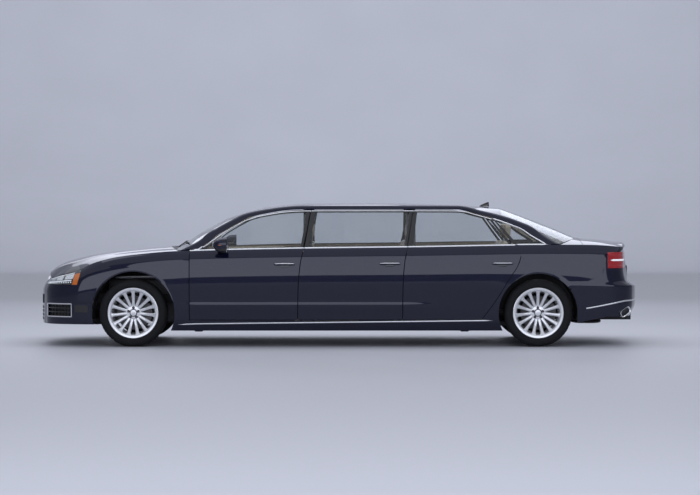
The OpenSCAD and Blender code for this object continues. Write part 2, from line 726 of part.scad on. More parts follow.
// Rear bumper and lamps
tail_heights = [for (s = tail_row_shares) s * belt_z];
tail_low_share = 0.235;
function tail_first_x(z) =
  z < tail_seam_shares[0][0] * belt_z
    ? arch_x(rear_x, rear_arch_r, z, 1)
    : hl * lookup(z / belt_z, tail_seam_shares);
module rear_bumper() {
  n = len(tail_col_shares) + 1;
  cols = concat(
    [[for (z = tail_heights) let (h = z == tail_heights[0] ? tail_low_share * belt_z : z) [tail_first_x(h), h]]],
    [for (c = tail_col_shares) [for (z = tail_heights) [hl * c * reach(hl, z), z]]]
  );
  function ring(t) = let (h = wrap_grid(cols, t, true)) concat(h, reversed(mirrored(h)));
  // The lid comes down between the upper corners
  notch = [for (j = [ledge_row:len(tail_row_shares) - 2]) [n - 1, j]];
  color(navy) sheet(ring(0), ring(skin_t), notch);
}
tail_lamp_row_shares = [0, 0.5, 1];
tail_lamp_col_shares = [0.945, 0.965, 0.985, 1];
module tail_lamp() {
  low = tail_heights[len(tail_heights) - 1] + seat_gap;
  high = lamp_top_share * belt_z - seat_gap;
  cols = concat(
    [[for (v = tail_lamp_row_shares) [lamp_x_share * hl + seat_gap, mix(low, high, v)]]],
    [
      for (c = tail_lamp_col_shares)
        [for (v = tail_lamp_row_shares) let (z = mix(low, high, v)) [hl * c * reach(hl, z), z]]
    ]
  );
  sheet(wrap_grid(cols, 0, true), wrap_grid(cols, skin_t, true));
}
module tail_lamps() {
  color(red) both_sides() tail_lamp();
}

// Floor, firewall, rear bulkhead, parcel shelf, boot floor and chassis rails
floor_rise = 14;
floor_z = sill_z + floor_rise;
floor_top = floor_z + floor_t;
floor_half = sill_in_y() - seat_gap;
cowl_z = 950;
seat_pan_z = 330;
boot_z = 380;
shelf_z = 1046;
rail_y = 408;
rail_w = 66;
tail_half = rail_y + rail_w;
front_rail_z = 440;
rear_rail_z = 262;
rail_h = 94;
// Places along the floor, as shares of the wheelbase
fire_share = 0.11;
toe_share = 0.155;
kick_share = 0.775;
bulk_share = 0.955;
shelf_share = 1.045;
module floor_slab(points, half) {
  translate([0, half, 0]) rotate([90, 0, 0]) linear_extrude(height = 2 * half) polygon(points);
}
// Arms under the front edge of the boot lid and the rear edge of the bonnet, at a column of their grids
arm_col = 2;
arm_len = 20;
lid_arm_t = 26;
module lid_hinge(side) {
  p = boot_rows[0][arm_col];
  fall = (p[2] - boot_rows[1][arm_col][2]) / (boot_rows[1][arm_col][0] - p[0]) * 2 * arm_len;
  shelf = cab_x(shelf_share) - overrun;
  y = side < 0 ? p[1] : -p[1] - lid_arm_t;
  end = p[0] + 2 * arm_len;
  translate([shelf, y, shelf_z - floor_t]) cube([end - shelf, lid_arm_t, floor_t]);
  translate([end - arm_len, y, shelf_z - floor_t])
    cube([arm_len, lid_arm_t, p[2] - fall - frame_t - seat_gap - shelf_z + floor_t]);
}
module bonnet_hinge(side) {
  last = len(bonnet_rows) - 1;
  p = bonnet_rows[last][arm_col];
  q = bonnet_rows[last - 1][arm_col];
  fall = (p[2] - q[2]) / (p[0] - q[0]) * arm_len;
  y = side < 0 ? p[1] : -p[1] - lid_arm_t;
  fire = cab_x(fire_share);
  start = p[0] - arm_len;
  translate([start, y, cowl_z - 2 * floor_t]) cube([fire - start + overrun, lid_arm_t, floor_t]);
  translate([start, y, cowl_z - 2 * floor_t])
    cube([arm_len, lid_arm_t, p[2] - fall - frame_t - seat_gap - cowl_z + 2 * floor_t]);
}
module floor_pan() {
  fire = cab_x(fire_share);
  toe = cab_x(toe_share);
  kick = cab_x(kick_share);
  bulk = cab_x(bulk_share);
  shelf = cab_x(shelf_share);
  tail = hl * tail_reach_shares[0][1] - skin_t - seat_gap;
  toe_z = 2 * floor_top;
  color(black) {
    union() {
      floor_slab([
        [fire, cowl_z], [fire + floor_t, cowl_z], [fire + floor_t, toe_z], [toe + floor_t, floor_top],
        [kick, floor_top], [kick + floor_t, seat_pan_z], [kick + 3 * floor_t, seat_pan_z],
        [kick + 3 * floor_t, seat_pan_z - floor_t], [kick + 2 * floor_t, floor_z], [toe, floor_z],
        [fire, toe_z - floor_t]
      ], floor_half);
      floor_slab([
        [kick + 2 * floor_t, seat_pan_z], [bulk, seat_pan_z], [bulk, shelf_z], [shelf, shelf_z],
        [shelf, shelf_z - floor_t], [bulk + floor_t, shelf_z - floor_t], [bulk + floor_t, boot_z],
        [tail, boot_z], [tail, boot_z - floor_t], [bulk + floor_t, boot_z - floor_t],
        [bulk + floor_t, seat_pan_z - floor_t], [kick + 2 * floor_t, seat_pan_z - floor_t]
      ], tail_half);
      for (side = [-1, 1]) {
        y = side * (rail_y + rail_w / 2) - rail_w / 2;
        nose = -hl + skin_t + seat_gap;
        translate([nose, y, front_rail_z]) cube([fire - nose + overrun, rail_w, rail_h]);
        lid_hinge(side);
        bonnet_hinge(side);
        translate([bulk - overrun, y, rear_rail_z])
          cube([tail - bulk + overrun, rail_w, rail_h + overrun]);
      }
    }
  }
}

// Exhaust: a flat silencer under the boot, a pipe forward, and a tip at each corner
muffler_len = 420;
muffler_w = 1000;
muffler_h = 120;
muffler_x_share = 0.84;
pipe_d = 60;
tip_len = 60;
module flat_tube(w, h, len) {
  rotate([90, 0, 90])
    linear_extrude(height = len) {
      square([w - h, h], center = true);
      for (s = [-1, 1]) translate([s * (w - h) / 2, 0]) circle(d = h);
    }
}
module exhaust() {
  top = rear_rail_z - seat_gap;
  x = muffler_x_share * hl;
  z = top - muffler_h / 2;
  pipe_x = cab_x(kick_share) + 2 * pipe_d;
  color(steel) {
    translate([x - muffler_len / 2, 0, z]) flat_tube(muffler_w, muffler_h, muffler_len);
    translate([pipe_x, 0, z - muffler_h / 2 + pipe_d / 2])
      rotate([0, 90, 0]) cylinder(h = x - pipe_x - muffler_len / 3, d = pipe_d);
    for (s = [-1, 1])
      translate([x + muffler_len / 2 - overrun, s * (muffler_w / 2 - pipe_d), z])
        rotate([0, 90, 0]) cylinder(h = tip_len, d = pipe_d);
  }
}

// Engine block
engine_len = 740;
engine_w = 600;
engine_h = 560;
engine_x_share = -0.075;
module engine() {
  color(steel)
    translate([cab_x(engine_x_share), -engine_w / 2, beam_z + beam_h + seat_gap])
      cube([engine_len, engine_w, engine_h]);
}

// Seats: cushion, back and head rest on a plain base
seat_len = 520;
back_h = 560;
back_t = 110;
rest_h = 150;
rest_w = 250;
rest_t = 80;
neck = 40;
// Front edges of the three rows, as shares of the wheelbase
row_shares = [0.2684, 0.522, 0.7662];
rear_bench_w = 930;
seat_y = 385;
cushion_t = 150;
rake_share = 0.2;
module seat(x, y, width, base_z) {
  back_x = x + seat_len;
  top_z = seat_z + back_h;
  rake = rake_share * back_h;
  cushion = [
    [x, seat_z - cushion_t], [x, seat_z - cushion_t / 4], [x + cushion_t / 4, seat_z],
    [back_x, seat_z - cushion_t / 5], [back_x, seat_z - cushion_t]
  ];
  backrest = [
    [back_x + seat_gap, seat_z - cushion_t], [back_x + seat_gap, seat_z - cushion_t / 5],
    [back_x + rake, top_z], [back_x + rake + back_t, top_z], [back_x + back_t + cushion_t / 4, seat_z - cushion_t]
  ];
  translate([0, y + width / 2, 0])
    rotate([90, 0, 0])
      for (outline = [cushion, backrest]) linear_extrude(height = width) polygon(outline);
  translate([x + cushion_t, y - width / 3, base_z + seat_gap])
    cube([seat_len - cushion_t, 2 * width / 3, seat_z - cushion_t - base_z - 2 * seat_gap]);
}
module head_rest(x, y) {
  top_z = seat_z + back_h + seat_gap;
  rake = rake_share * back_h;
  translate([x + seat_len + rake + back_t - rest_t, y - rest_w / 2, top_z]) {
    translate([rest_t / 3, rest_w / 3, 0]) cube([rest_t / 3, rest_w / 3, neck + overrun]);
    translate([0, 0, neck]) cube([rest_t, rest_w, rest_h]);
  }
}
module seat_pair(row) {
  x = cab_x(row_shares[row]);
  color(cream)
    for (s = [-1, 1]) {
      seat(x, s * seat_y, seat_w, floor_top);
      head_rest(x, s * seat_y);
    }
}
module front_seats() {
  seat_pair(0);
}
module middle_seats() {
  seat_pair(1);
}
module rear_seats() {
  x = cab_x(row_shares[2]);
  color(cream) {
    seat(x, 0, rear_bench_w, seat_pan_z);
    for (s = [-1, 1]) head_rest(x, s * (rear_bench_w - rest_w) / 3);
  }
}

// Dashboard with the console between the front seats
dash_len = 400;
dash_h = 400;
dash_half = 740;
// Its side outline: [share of the length, share of the height downwards]
dash_shares = [[0, 0], [0.8, 0.08], [1, 0.25], [0.85, 1], [0.4, 1], [0, 0.6]];
console_w = 210;
console_h = 300;
console_len = 760;
module dashboard() {
  x = cab_x(fire_share) + floor_t + seat_gap;
  top = cowl_z;
  color(black) {
    translate([0, dash_half, 0])
      rotate([90, 0, 0])
        linear_extrude(height = 2 * dash_half)
          polygon([for (d = dash_shares) [x + dash_len * d[0], top - dash_h * d[1]]]);
    translate([x + dash_len / 2, -console_w / 2, floor_top + seat_gap])
      cube([console_len, console_w, console_h]);
    translate([x + dash_len / 2, -console_w / 2, floor_top + seat_gap])
      cube([dash_len / 4, console_w, top - dash_h / 2 - floor_top]);
  }
}

// Steering wheel on its column
steer_tube_d = 30;
steer_tilt = 68;
column_d = 56;
column_len = 120;
column_seat = 1.2;
steer_z_share = 0.84;
steer_boss_d = 120;
steer_boss_h = 48;
module steering_wheel() {
  x = cab_x(fire_share) + floor_t + dash_len + column_len * sin(steer_tilt) + column_d / 2 * cos(steer_tilt) - column_seat;
  color(black)
    translate([x, -seat_y, steer_z_share * belt_z])
      rotate([0, steer_tilt, 0]) {
        rotate_extrude() translate([steer_d / 2 - steer_tube_d / 2, 0]) circle(d = steer_tube_d);
        for (a = [0, 90, 180])
          rotate([0, 0, a + 90])
            translate([0, -steer_tube_d / 2, -steer_tube_d / 4])
              cube([steer_d / 2 - steer_tube_d / 2, steer_tube_d, steer_tube_d / 2]);
        translate([0, 0, -steer_tube_d]) cylinder(h = steer_boss_h, d = steer_boss_d);
        translate([0, 0, -column_len]) cylinder(h = column_len, d = column_d);
      }
}

// Wheel-arch liners
liner_t = 6;
liner_out = 845;
rear_liner_in = tail_half + seat_gap;
front_liner_in = rail_y + rail_w + seat_gap;
module liner(axle, r, inner) {
  low = asin((sill_top_z - axle_z) / (r + liner_t));
  translate([axle, -inner, axle_z])
    rotate([90, 0, 0])
      rotate([0, 0, low])
        rotate_extrude(angle = 180 - 2 * low) translate([r, 0]) square([liner_t, liner_out - inner]);
}
module wheel_liners() {
  color(black)
    both_sides() {
      liner(front_x, front_arch_r, front_liner_in);
      liner(rear_x, rear_arch_r, rear_liner_in);
    }
}

// Wheels: built about +Z with the outer face up, then turned to either side
rim_w = 228;
rim_wall = 8;
rim_flange = 11;
well_depth = 26;
hub_d = 150;
hub_top = 62;
hub_deep = 74;
disc_d = 356;
disc_t = 30;
disc_low = -22;
spoke_low = 40;
spoke_root_w = 20;
spoke_waist_w = 13;
spoke_foot_w = 46;
// Where a spoke is slimmest and where it flares, as shares of the bead's radius
waist_share = 0.6;
flare_share = 0.86;
cap_d = 66;
module at_wheel(side, axle) {
  translate([axle, side * track / 2, axle_z]) rotate([-side * 90, 0, 0]) children();
}
module rim() {
  bead = rim_d / 2;
  half = rim_w / 2;
  in_r = bead - well_depth - rim_wall;
  face = bead - rim_wall;
  rotate_extrude()
    polygon([
      [in_r, -half / 3], [face, -half], [bead + rim_flange, -half], [bead + rim_flange, -half + rim_wall],
      [bead, -half + rim_wall], [bead, -half / 2], [bead - well_depth, -half / 3],
      [bead - well_depth, half / 3], [bead, half / 2], [bead, half - rim_wall],
      [bead + rim_flange, half - rim_wall], [bead + rim_flange, half], [face, half], [in_r, half / 3]
    ]);
}
module spokes() {
  bead = rim_d / 2;
  half = rim_w / 2;
  root = hub_d / 2 - rim_wall;
  end = bead - rim_wall / 2;
  intersection() {
    rotate_extrude()
      polygon([
        [root, spoke_low], [root, hub_top], [bead * waist_share, half * 2 / 3], [end, half - rim_wall],
        [end, half / 2], [bead * waist_share, half * 2 / 5]
      ]);
    linear_extrude(height = rim_w)
      for (i = [0:spoke_n - 1])
        rotate(i * 360 / spoke_n)
          polygon([
            [root - rim_wall, -spoke_root_w / 2], [bead * waist_share, -spoke_waist_w / 2],
            [bead * flare_share, -spoke_waist_w * 2 / 3], [end + overrun, -spoke_foot_w / 2],
            [end + overrun, spoke_foot_w / 2], [bead * flare_share, spoke_waist_w * 2 / 3],
            [bead * waist_share, spoke_waist_w / 2], [root - rim_wall, spoke_root_w / 2]
          ]);
  }
}
module wheel(side, axle) {
  color(chrome)
    at_wheel(side, axle)
      difference() {
        union() {
          rim();
          spokes();
          translate([0, 0, disc_low - rim_wall]) cylinder(h = hub_top - disc_low + rim_wall, d = hub_d);
          translate([0, 0, disc_low]) cylinder(h = disc_t, d = disc_d);
          cylinder(h = hub_top + rim_wall, d = cap_d);
        }
        translate([0, 0, disc_low - rim_wall - overrun])
          cylinder(h = hub_deep + overrun, d = spindle_d + 2 * spindle_gap);
      }
}
spindle_gap = 0.06;
// Half section of a tyre: [share of the way from bead to tread, share of the half width]
tyre_shares = [[0.14, 0.83], [0.45, 1], [0.77, 0.95], [0.94, 0.83], [1, 0.55]];
module tyre(side, axle) {
  bead = rim_d / 2 + seat_gap;
  half = tyre_w / 2;
  seat = rim_w / 2 - rim_wall - seat_gap;
  flank = [for (t = tyre_shares) [mix(bead, tyre_d / 2, t[0]), min(half * t[1], t == tyre_shares[0] ? seat : half)]];
  outer = concat([[bead, seat]], flank);
  inner = [for (i = [len(outer) - 1:-1:0]) [outer[i][0], -outer[i][1]]];
  color(black) at_wheel(side, axle) rotate_extrude() polygon(concat(outer, inner));
}

// Caliper over the disc's edge, built in the wheel's own frame
caliper_gap = 7;
caliper_t = 14;
caliper_in_r = 112;
caliper_span = 62;
module caliper(start) {
  disc_r = disc_d / 2;
  low = disc_low - caliper_gap;
  high = disc_low + disc_t + caliper_gap;
  out_r = disc_r + caliper_gap;
  rotate([0, 0, start])
    rotate_extrude(angle = caliper_span)
      polygon([
        [caliper_in_r, low - 2 * caliper_t], [out_r + caliper_t / 2, low - 2 * caliper_t],
        [out_r + caliper_t / 2, high + caliper_t / 2], [caliper_in_r, high + caliper_t / 2],
        [caliper_in_r, high], [out_r, high], [out_r, low], [caliper_in_r, low]
      ]);
}

// Steering knuckle: post on the steering axis, spindle and caliper
post_d = 60;
ball_d = 36;
ball_gap = 0.06;
lower_arm_z = 168;
upper_arm_z = 506;
arm_t = 34;
arm_w = 62;
eye_d = 74;
eye_room = 1;
module knuckle(side) {
  spindle_len = kingpin_in + hub_deep + disc_low - rim_wall - caliper_gap;
  post_low = lower_arm_z + arm_t + eye_room - axle_z;
  post_high = upper_arm_z - eye_room - axle_z;
  back = disc_low - caliper_gap - 2 * caliper_t;
  color(steel)
    at_wheel(side, front_x)
      union() {
        translate([0, 0, -kingpin_in]) {
          cylinder(h = spindle_len, d = spindle_d);
          rotate([90 * side, 0, 0]) {
            translate([0, 0, post_low]) cylinder(h = post_high - post_low, d = post_d);
            translate([0, 0, lower_arm_z - axle_z]) cylinder(h = upper_arm_z + arm_t - lower_arm_z, d = ball_d);
          }
          translate([0, -arm_w / 2, 0]) cube([disc_d / 2 - caliper_t, arm_w, kingpin_in + back + caliper_t]);
        }
        caliper(-caliper_span / 2);
      }
}

// Front subframe: a beam under the engine, lower arms, and upper arms on the rails
beam_z = 160;
beam_h = 54;
beam_len = 90;
module arm(z, from_y) {
  kingpin_y = track / 2 - kingpin_in;
  difference() {
    union() {
      translate([front_x - arm_w / 2, -kingpin_y, z]) cube([arm_w, kingpin_y - from_y, arm_t]);
      translate([front_x, -kingpin_y, z]) cylinder(h = arm_t, d = eye_d);
    }
    translate([front_x, -kingpin_y, z - overrun])
      cylinder(h = arm_t + 2 * overrun, d = ball_d + 2 * ball_gap);
  }
}
module front_subframe() {
  reach_y = rail_y + rail_w;
  color(steel) {
    union() {
      translate([front_x - beam_len / 2, -reach_y, beam_z]) cube([beam_len, 2 * reach_y, beam_h]);
      both_sides() {
        arm(lower_arm_z, reach_y - overrun);
        translate([front_x - beam_len / 2, -reach_y, beam_z])
          cube([beam_len, rail_w, front_rail_z - beam_z - seat_gap]);
      }
    }
    both_sides() arm(upper_arm_z, reach_y + seat_gap);
  }
}

// Rear axle carrier: cross beam, uprights, fixed spindles and calipers
upright_w = 104;
upright_t = 40;
case_d = 190;
module rear_axle() {
  reach_y = rail_y + rail_w;
  tower_y = reach_y + seat_gap;
  beam_top = rear_rail_z - seat_gap;
  low = beam_top - beam_h;
  spindle_end = track / 2 + hub_deep + disc_low - rim_wall - caliper_gap;
  back = -disc_low + caliper_gap + caliper_t;
  color(steel) {
    union() {
      translate([rear_x - beam_len / 2, -tower_y - upright_t, low])
        cube([beam_len, 2 * (tower_y + upright_t), beam_h]);
      both_sides() {
        translate([rear_x - upright_w / 2, -tower_y - upright_t, low])
          cube([upright_w, upright_t, axle_z + upright_w / 2 - low]);
        translate([rear_x, -tower_y - upright_t / 2, axle_z])
          rotate([90, 0, 0]) cylinder(h = spindle_end - tower_y - upright_t / 2, d = spindle_d);
        translate([rear_x - eye_d / 2, -track / 2 + back, axle_z - eye_d / 2])
          cube([disc_d / 2 - caliper_t + eye_d / 2, 2 * caliper_t, eye_d]);
        at_wheel(-1, rear_x) caliper(-caliper_span / 2);
      }
    }
  }
}

module left_knuckle() {
  knuckle(-1);
}
module right_knuckle() {
  knuckle(1);
}

floor_pan();
sills();
pillars();
cant_rails();
quarter_panels();
roof();
fixed_glass();
wings();
front_bumper();
grille();
headlamps();
rear_bumper();
tail_lamps();
exhaust();
engine();
front_seats();
middle_seats();
rear_seats();
dashboard();
steering_wheel();
wheel_liners();
front_subframe();
rear_axle();
for (k = [0:2]) {
  door(k);
  mirror([0, 1, 0]) door(k);
  door_window(k);
  mirror([0, 1, 0]) door_window(k);
}
bonnet();
boot_lid();
left_knuckle();
right_knuckle();
tyre(-1, front_x);  // tyre_fl
tyre(1, front_x);  // tyre_fr
tyre(-1, rear_x);  // tyre_rl
tyre(1, rear_x);  // tyre_rr
wheel(-1, front_x);  // wheel_fl
wheel(1, front_x);  // wheel_fr
wheel(-1, rear_x);  // wheel_rl
wheel(1, rear_x);  // wheel_rr
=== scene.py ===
"""Looks of the six-door stretch saloon: panels, trim, glass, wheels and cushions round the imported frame."""
import math

import bmesh
import bpy
import numpy as np
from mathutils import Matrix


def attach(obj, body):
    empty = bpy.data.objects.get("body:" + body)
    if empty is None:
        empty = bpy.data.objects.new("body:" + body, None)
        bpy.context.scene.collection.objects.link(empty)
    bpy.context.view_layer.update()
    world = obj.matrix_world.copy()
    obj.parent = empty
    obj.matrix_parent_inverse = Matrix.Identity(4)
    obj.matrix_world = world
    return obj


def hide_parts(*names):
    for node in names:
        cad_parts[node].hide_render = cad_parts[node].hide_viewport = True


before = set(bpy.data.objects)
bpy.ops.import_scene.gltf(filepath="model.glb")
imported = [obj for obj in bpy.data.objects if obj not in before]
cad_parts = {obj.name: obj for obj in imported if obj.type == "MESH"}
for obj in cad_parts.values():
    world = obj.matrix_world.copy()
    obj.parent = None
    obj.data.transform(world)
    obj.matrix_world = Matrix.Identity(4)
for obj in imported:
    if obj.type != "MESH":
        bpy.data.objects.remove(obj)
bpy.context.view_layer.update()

# Main sizes in millimetres, as in the part's source: front towards -X, left side towards -Y
HL, HW = 3180.0, 975.0
ROOF_Z, BELT_Z, SILL_Z, SILL_TOP_Z = 1497.0, 1040.0, 167.0, 276.0
FRONT_X, WHEELBASE, AXLE_Z, TRACK = -2142.0, 4218.0, 352.0, 1640.0
REAR_X = FRONT_X + WHEELBASE
FRONT_ARCH_R, REAR_ARCH_R = 432.0, 412.0
WALL_T, FRAME_T, SKIN_T, LIP_T, GLASS_T, PANE_DROP, CANT_W = 90.0, 30.0, 40.0, 12.0, 6.0, 8.0, 40.0
SHUT_GAP, HEAD_GAP, SHUT_BEVEL, SEAT_GAP = 6.0, 11.0, 12.0, 0.3
SIDES = {"left": 1, "right": -1}

# Outline tables, as shares of the sizes above
PLAN = [[-1, 0.58], [-0.985, 0.71], [-0.955, 0.81], [-0.91, 0.88], [-0.84, 0.935], [-0.67, 0.98],
        [-0.48, 0.995], [0, 1], [0.5, 0.998], [0.66, 0.985], [0.82, 0.952], [0.92, 0.91], [0.962, 0.865],
        [0.986, 0.79], [1, 0.642]]
NOSE_REACH = [[0.3, 1], [0.55, 1], [0.66, 0.988], [0.74, 0.974], [0.8, 0.96]]
TAIL_REACH = [[0.3, 0.985], [0.42, 1], [0.6, 1], [0.66, 0.974], [0.78, 0.966], [1, 0.966]]
WAIST = [[-1, 0.665], [-0.968, 0.685], [-0.93, 0.716], [-0.865, 0.757], [-0.843, 0.784], [-0.818, 0.822],
         [-0.772, 0.868], [-0.73, 0.897], [-0.64, 0.932], [-0.563, 0.953], [-0.48, 0.965], [-0.11, 0.99],
         [0.23, 1.002], [0.68, 1.022], [0.82, 1.02], [0.94, 1], [1, 0.965]]
SIDE = [[0, 0.93], [0.12, 0.966], [0.4, 0.992], [0.6, 1], [0.8, 0.993], [0.9, 0.978], [0.95, 0.96],
        [1, 0.925]]
LEAN, TOP_SHARE = 0.6, 0.925
CREASE_SHARE, CREASE_MM, CREASE_WIDTH = 0.913, 5.0, 20.0
LOW_CREASE_Z, LOW_CREASE_MM, LOW_CREASE_UP, LOW_CREASE_DOWN = 440.0, 7.0, 16, 70
# Where each crease fades: [start, way to its full height, end, way down to the end]
CREASE_SPAN, LOW_CREASE_SPAN = [-2300, 700, 3020, 300], [-1700, 200, 1150, 500]
# Doors: [height share of the roof, share of the wheelbase] along each shut line
DOOR_LINES = [
    [[0.1, 0.139], [1, 0.139]],
    [[0.1, 0.406], [0.4, 0.4075], [0.58, 0.413], [0.69, 0.422], [0.955, 0.4395]],
    [[0.1, 0.665], [0.4, 0.666], [0.58, 0.67], [0.69, 0.678], [0.955, 0.695]],
    [[0.18, 0.858], [0.33, 0.897], [0.477, 0.929], [0.575, 0.951], [0.65, 0.958], [0.71, 0.9385],
     [0.9, 0.8853], [1, 0.8573]],
]
FRAME_START = 0.172
# Roof-side rail: [x share, z share of the roof, x and z to its upper edge as shares of the rail width]
CANT = [[-0.461, 0, -4.5, 0], [-0.418, 0.74, -2.4, 0.55], [-0.374, 0.809, -2.1, 0.7],
        [-0.33, 0.862, -1.8, 0.8], [-0.295, 0.9, -1.4, 0.9], [-0.236, 0.928, -0.8, 1],
        [-0.173, 0.9486, 0, 1], [-0.114, 0.955, 0, 1], [0.126, 0.956, 0, 1], [0.386, 0.955, 0, 1],
        [0.466, 0.92, 0.4, 1], [0.5186, 0.888, 1.2, 1], [0.571, 0.848, 1.8, 0.9], [0.621, 0.792, 2.3, 0.7],
        [0.685, 0, 3, 0]]
# Middle lines of roof, windscreen and rear window: [x share, z share of the roof]
ROOF_FIRST, ROOF_MID = 5, [[-0.251, 0.97], [-0.173, 0.988], [-0.114, 0.997], [0.126, 1], [0.386, 0.988],
                           [0.474, 0.975], [0.541, 0.963]]
SCREEN_MID = [[-0.55, 0.668], [-0.4855, 0.7615], [-0.4245, 0.8377], [-0.37, 0.895], [-0.316, 0.931],
              [-0.251, 0.97]]
REAR_FIRST, REAR_MID = 11, [[0.541, 0.963], [0.613, 0.91], [0.7, 0.838], [0.797, 0.753]]
# Bonnet: [x share, middle z share of the belt, sweep share, draw-in share]
BONNET = [[-0.975, 0.735, 0, 4.5], [-0.945, 0.8, 0, 3], [-0.902, 0.853, 0, 1.8], [-0.858, 0.887, 0, 1.3],
          [-0.814, 0.915, 0, 1], [-0.73, 0.946, 0, 1], [-0.64, 0.973, 0.4, 1.2], [-0.565, 0.991, 1, 1.5]]
BONNET_SWEEP, BONNET_POWER, CROWN_POWER = 120.0, 2.6, 2.2
LID_IN = LIP_T + SHUT_GAP
# Boot lid: top rows as the bonnet's, then [x, z, half width, edge drop, edge set-in]
BOOT_TOP = [[0.802, 1.078, 1.7], [0.88, 1.06, 1], [0.935, 1.041, 1], [0.957, 1.033, 1]]
BOOT_FACE = [[0.965, 1.002, 0.68, 0.02, 0.007], [0.96, 0.966, 0.675, 0.008, 0.008],
             [0.961, 0.955, 0.605, 0, 0.008], [0.966, 0.86, 0.605, 0, 0.008],
             [0.972, 0.74, 0.605, 0, 0.008], [0.974, 0.612, 0.605, 0, 0.008]]
# Bumpers and lamps, as shares of the half length and of the belt height
NOSE_COLS, NOSE_ROWS = [0.885, 0.93, 0.96, 0.985, 1], [0.222, 0.298, 0.427, 0.438, 0.52, 0.618]
TAIL_COLS, TAIL_ROWS = [0.9, 0.93, 0.96, 0.985, 1], [0.3, 0.4, 0.5, 0.585, 0.6, 0.625, 0.695, 0.785]
TAIL_SEAM = [[0.585, 0.762], [0.625, 0.792], [0.695, 0.842], [0.785, 0.889]]
NOSE_SEAM, CORNER_SHARE, LAMP_BASE, WING_TOP = -0.862, 0.438, 0.618, -0.845
LAMP_X, LAMP_TOP, TAIL_TIP = 0.889, 0.947, 0.945
WRAP_START, WRAP_BLEND, GRILLE_HALF = 0.86, 0.08, 405.0
MID_STEPS = 12


def smooth(rows):
    """Smooth curve through [position, value] rows that never overshoots them."""
    xs, ys = np.array(rows, float).T
    step = np.diff(xs)
    rise = np.diff(ys) / step
    slope = np.zeros(len(xs))
    slope[0], slope[-1] = rise[0], rise[-1]
    for i in range(1, len(xs) - 1):
        if rise[i - 1] * rise[i] > 0:
            a, b = 2 * step[i] + step[i - 1], step[i] + 2 * step[i - 1]
            slope[i] = (a + b) / (a / rise[i - 1] + b / rise[i])

    def curve(x):
        x = np.clip(np.asarray(x, float), xs[0], xs[-1])
        i = np.clip(np.searchsorted(xs, x, side="right") - 1, 0, len(step) - 1)
        t = (x - xs[i]) / step[i]
        value = ys[i] * (1 + 2 * t) * (1 - t) ** 2 + ys[i + 1] * t * t * (3 - 2 * t)
        return value + step[i] * (slope[i] * t * (1 - t) ** 2 + slope[i + 1] * t * t * (t - 1))
    return curve


def mix(a, b, t):
    return a + (b - a) * t


def dense(stops, steps):
    """The stops with evenly spaced values put between them."""
    parts = [np.linspace(a, b, steps, endpoint=False) for a, b in zip(stops[:-1], stops[1:])]
    return np.concatenate(parts + [[stops[-1]]])


plan_at, waist_at, side_at = smooth(PLAN), smooth(WAIST), smooth(SIDE)
nose_reach, tail_reach = smooth(NOSE_REACH), smooth(TAIL_REACH)
line_at = [smooth(rows) for rows in DOOR_LINES]
cant_at = [smooth([[k, row[c]] for k, row in enumerate(CANT)]) for c in range(4)]
CANT_LAST = len(CANT) - 1


def reach(x, z):
    return np.where(np.asarray(x) < 0, nose_reach(np.asarray(z) / BELT_Z),
                    tail_reach(np.asarray(z) / BELT_Z))


def half_w(x, z):
    return HW * plan_at(np.asarray(x) / HL / reach(x, z))


def waist(x):
    return BELT_Z * waist_at(np.asarray(x) / HL)


def faded(x, start, grow, end, fall):
    """Share that grows from a start and dies out towards an end."""
    x = np.asarray(x)
    return np.clip((x - start) / grow, 0, 1) * np.clip((end - x) / fall, 0, 1)


def crease(x, z):
    """Raised lines along the shoulder and low on the doors, fading out towards both ends."""
    low, high = z - LOW_CREASE_Z, z - CREASE_SHARE * waist(x)
    low_width = np.where(low > 0, LOW_CREASE_UP, LOW_CREASE_DOWN)
    ledge = LOW_CREASE_MM * faded(x, *LOW_CREASE_SPAN) * np.exp(-(low / low_width) ** 2)
    return CREASE_MM * faded(x, *CREASE_SPAN) * np.exp(-(high / CREASE_WIDTH) ** 2) + ledge


def side_y(x, z):
    """Half width of the flank at a place and height."""
    x, z = np.broadcast_arrays(np.asarray(x, float), np.asarray(z, float))
    top, half = waist(x), half_w(x, z)
    low = half * side_at((z - SILL_Z) / (top - SILL_Z)) + crease(x, z)
    return np.where(z <= top, low, half * TOP_SHARE - LEAN * (z - top))


def left(x, z, inset=0.0):
    """Points on the left flank, moved inwards by an inset."""
    x, z, inset = np.broadcast_arrays(np.asarray(x, float), np.asarray(z, float), np.asarray(inset, float))
    return np.stack([x, inset - side_y(x, z), z], -1)


def cab_x(share):
    return FRONT_X + np.asarray(share) * WHEELBASE


def line_x(k, z):
    return cab_x(line_at[k](np.asarray(z) / ROOF_Z))


def cant_point(k, up):
    """Lower (up 0) or upper (up 1) edge of the roof-side rail at a fractional station."""
    k = np.asarray(k, float)
    x = HL * cant_at[0](k) + up * CANT_W * cant_at[2](k)
    rise = np.where(k < 1, 1 - k, np.where(k > CANT_LAST - 1, k - CANT_LAST + 1, 0))
    foot = waist(x) + SEAT_GAP + (PANE_DROP if up else 2 * SHUT_GAP) * (k < 1) + PANE_DROP * up * (k >= 1)
    near = np.where(k < 1, 1, CANT_LAST - 1)
    body = ROOF_Z * cant_at[1](np.where(rise > 0, near, k)) + up * CANT_W * cant_at[3](k)
    return x, np.where(rise > 0, mix(body, foot, rise), body)


rail_k = np.linspace(0, CANT_LAST, 281)
rail_x, rail_z = cant_point(rail_k, 0)


def rail(x):
    return np.interp(x, rail_x, rail_z)


# Materials
def node(tree, kind, **inputs):
    made = tree.nodes.new(kind)
    for key, value in inputs.items():
        made.inputs[key.replace("_", " ")].default_value = value
    return made


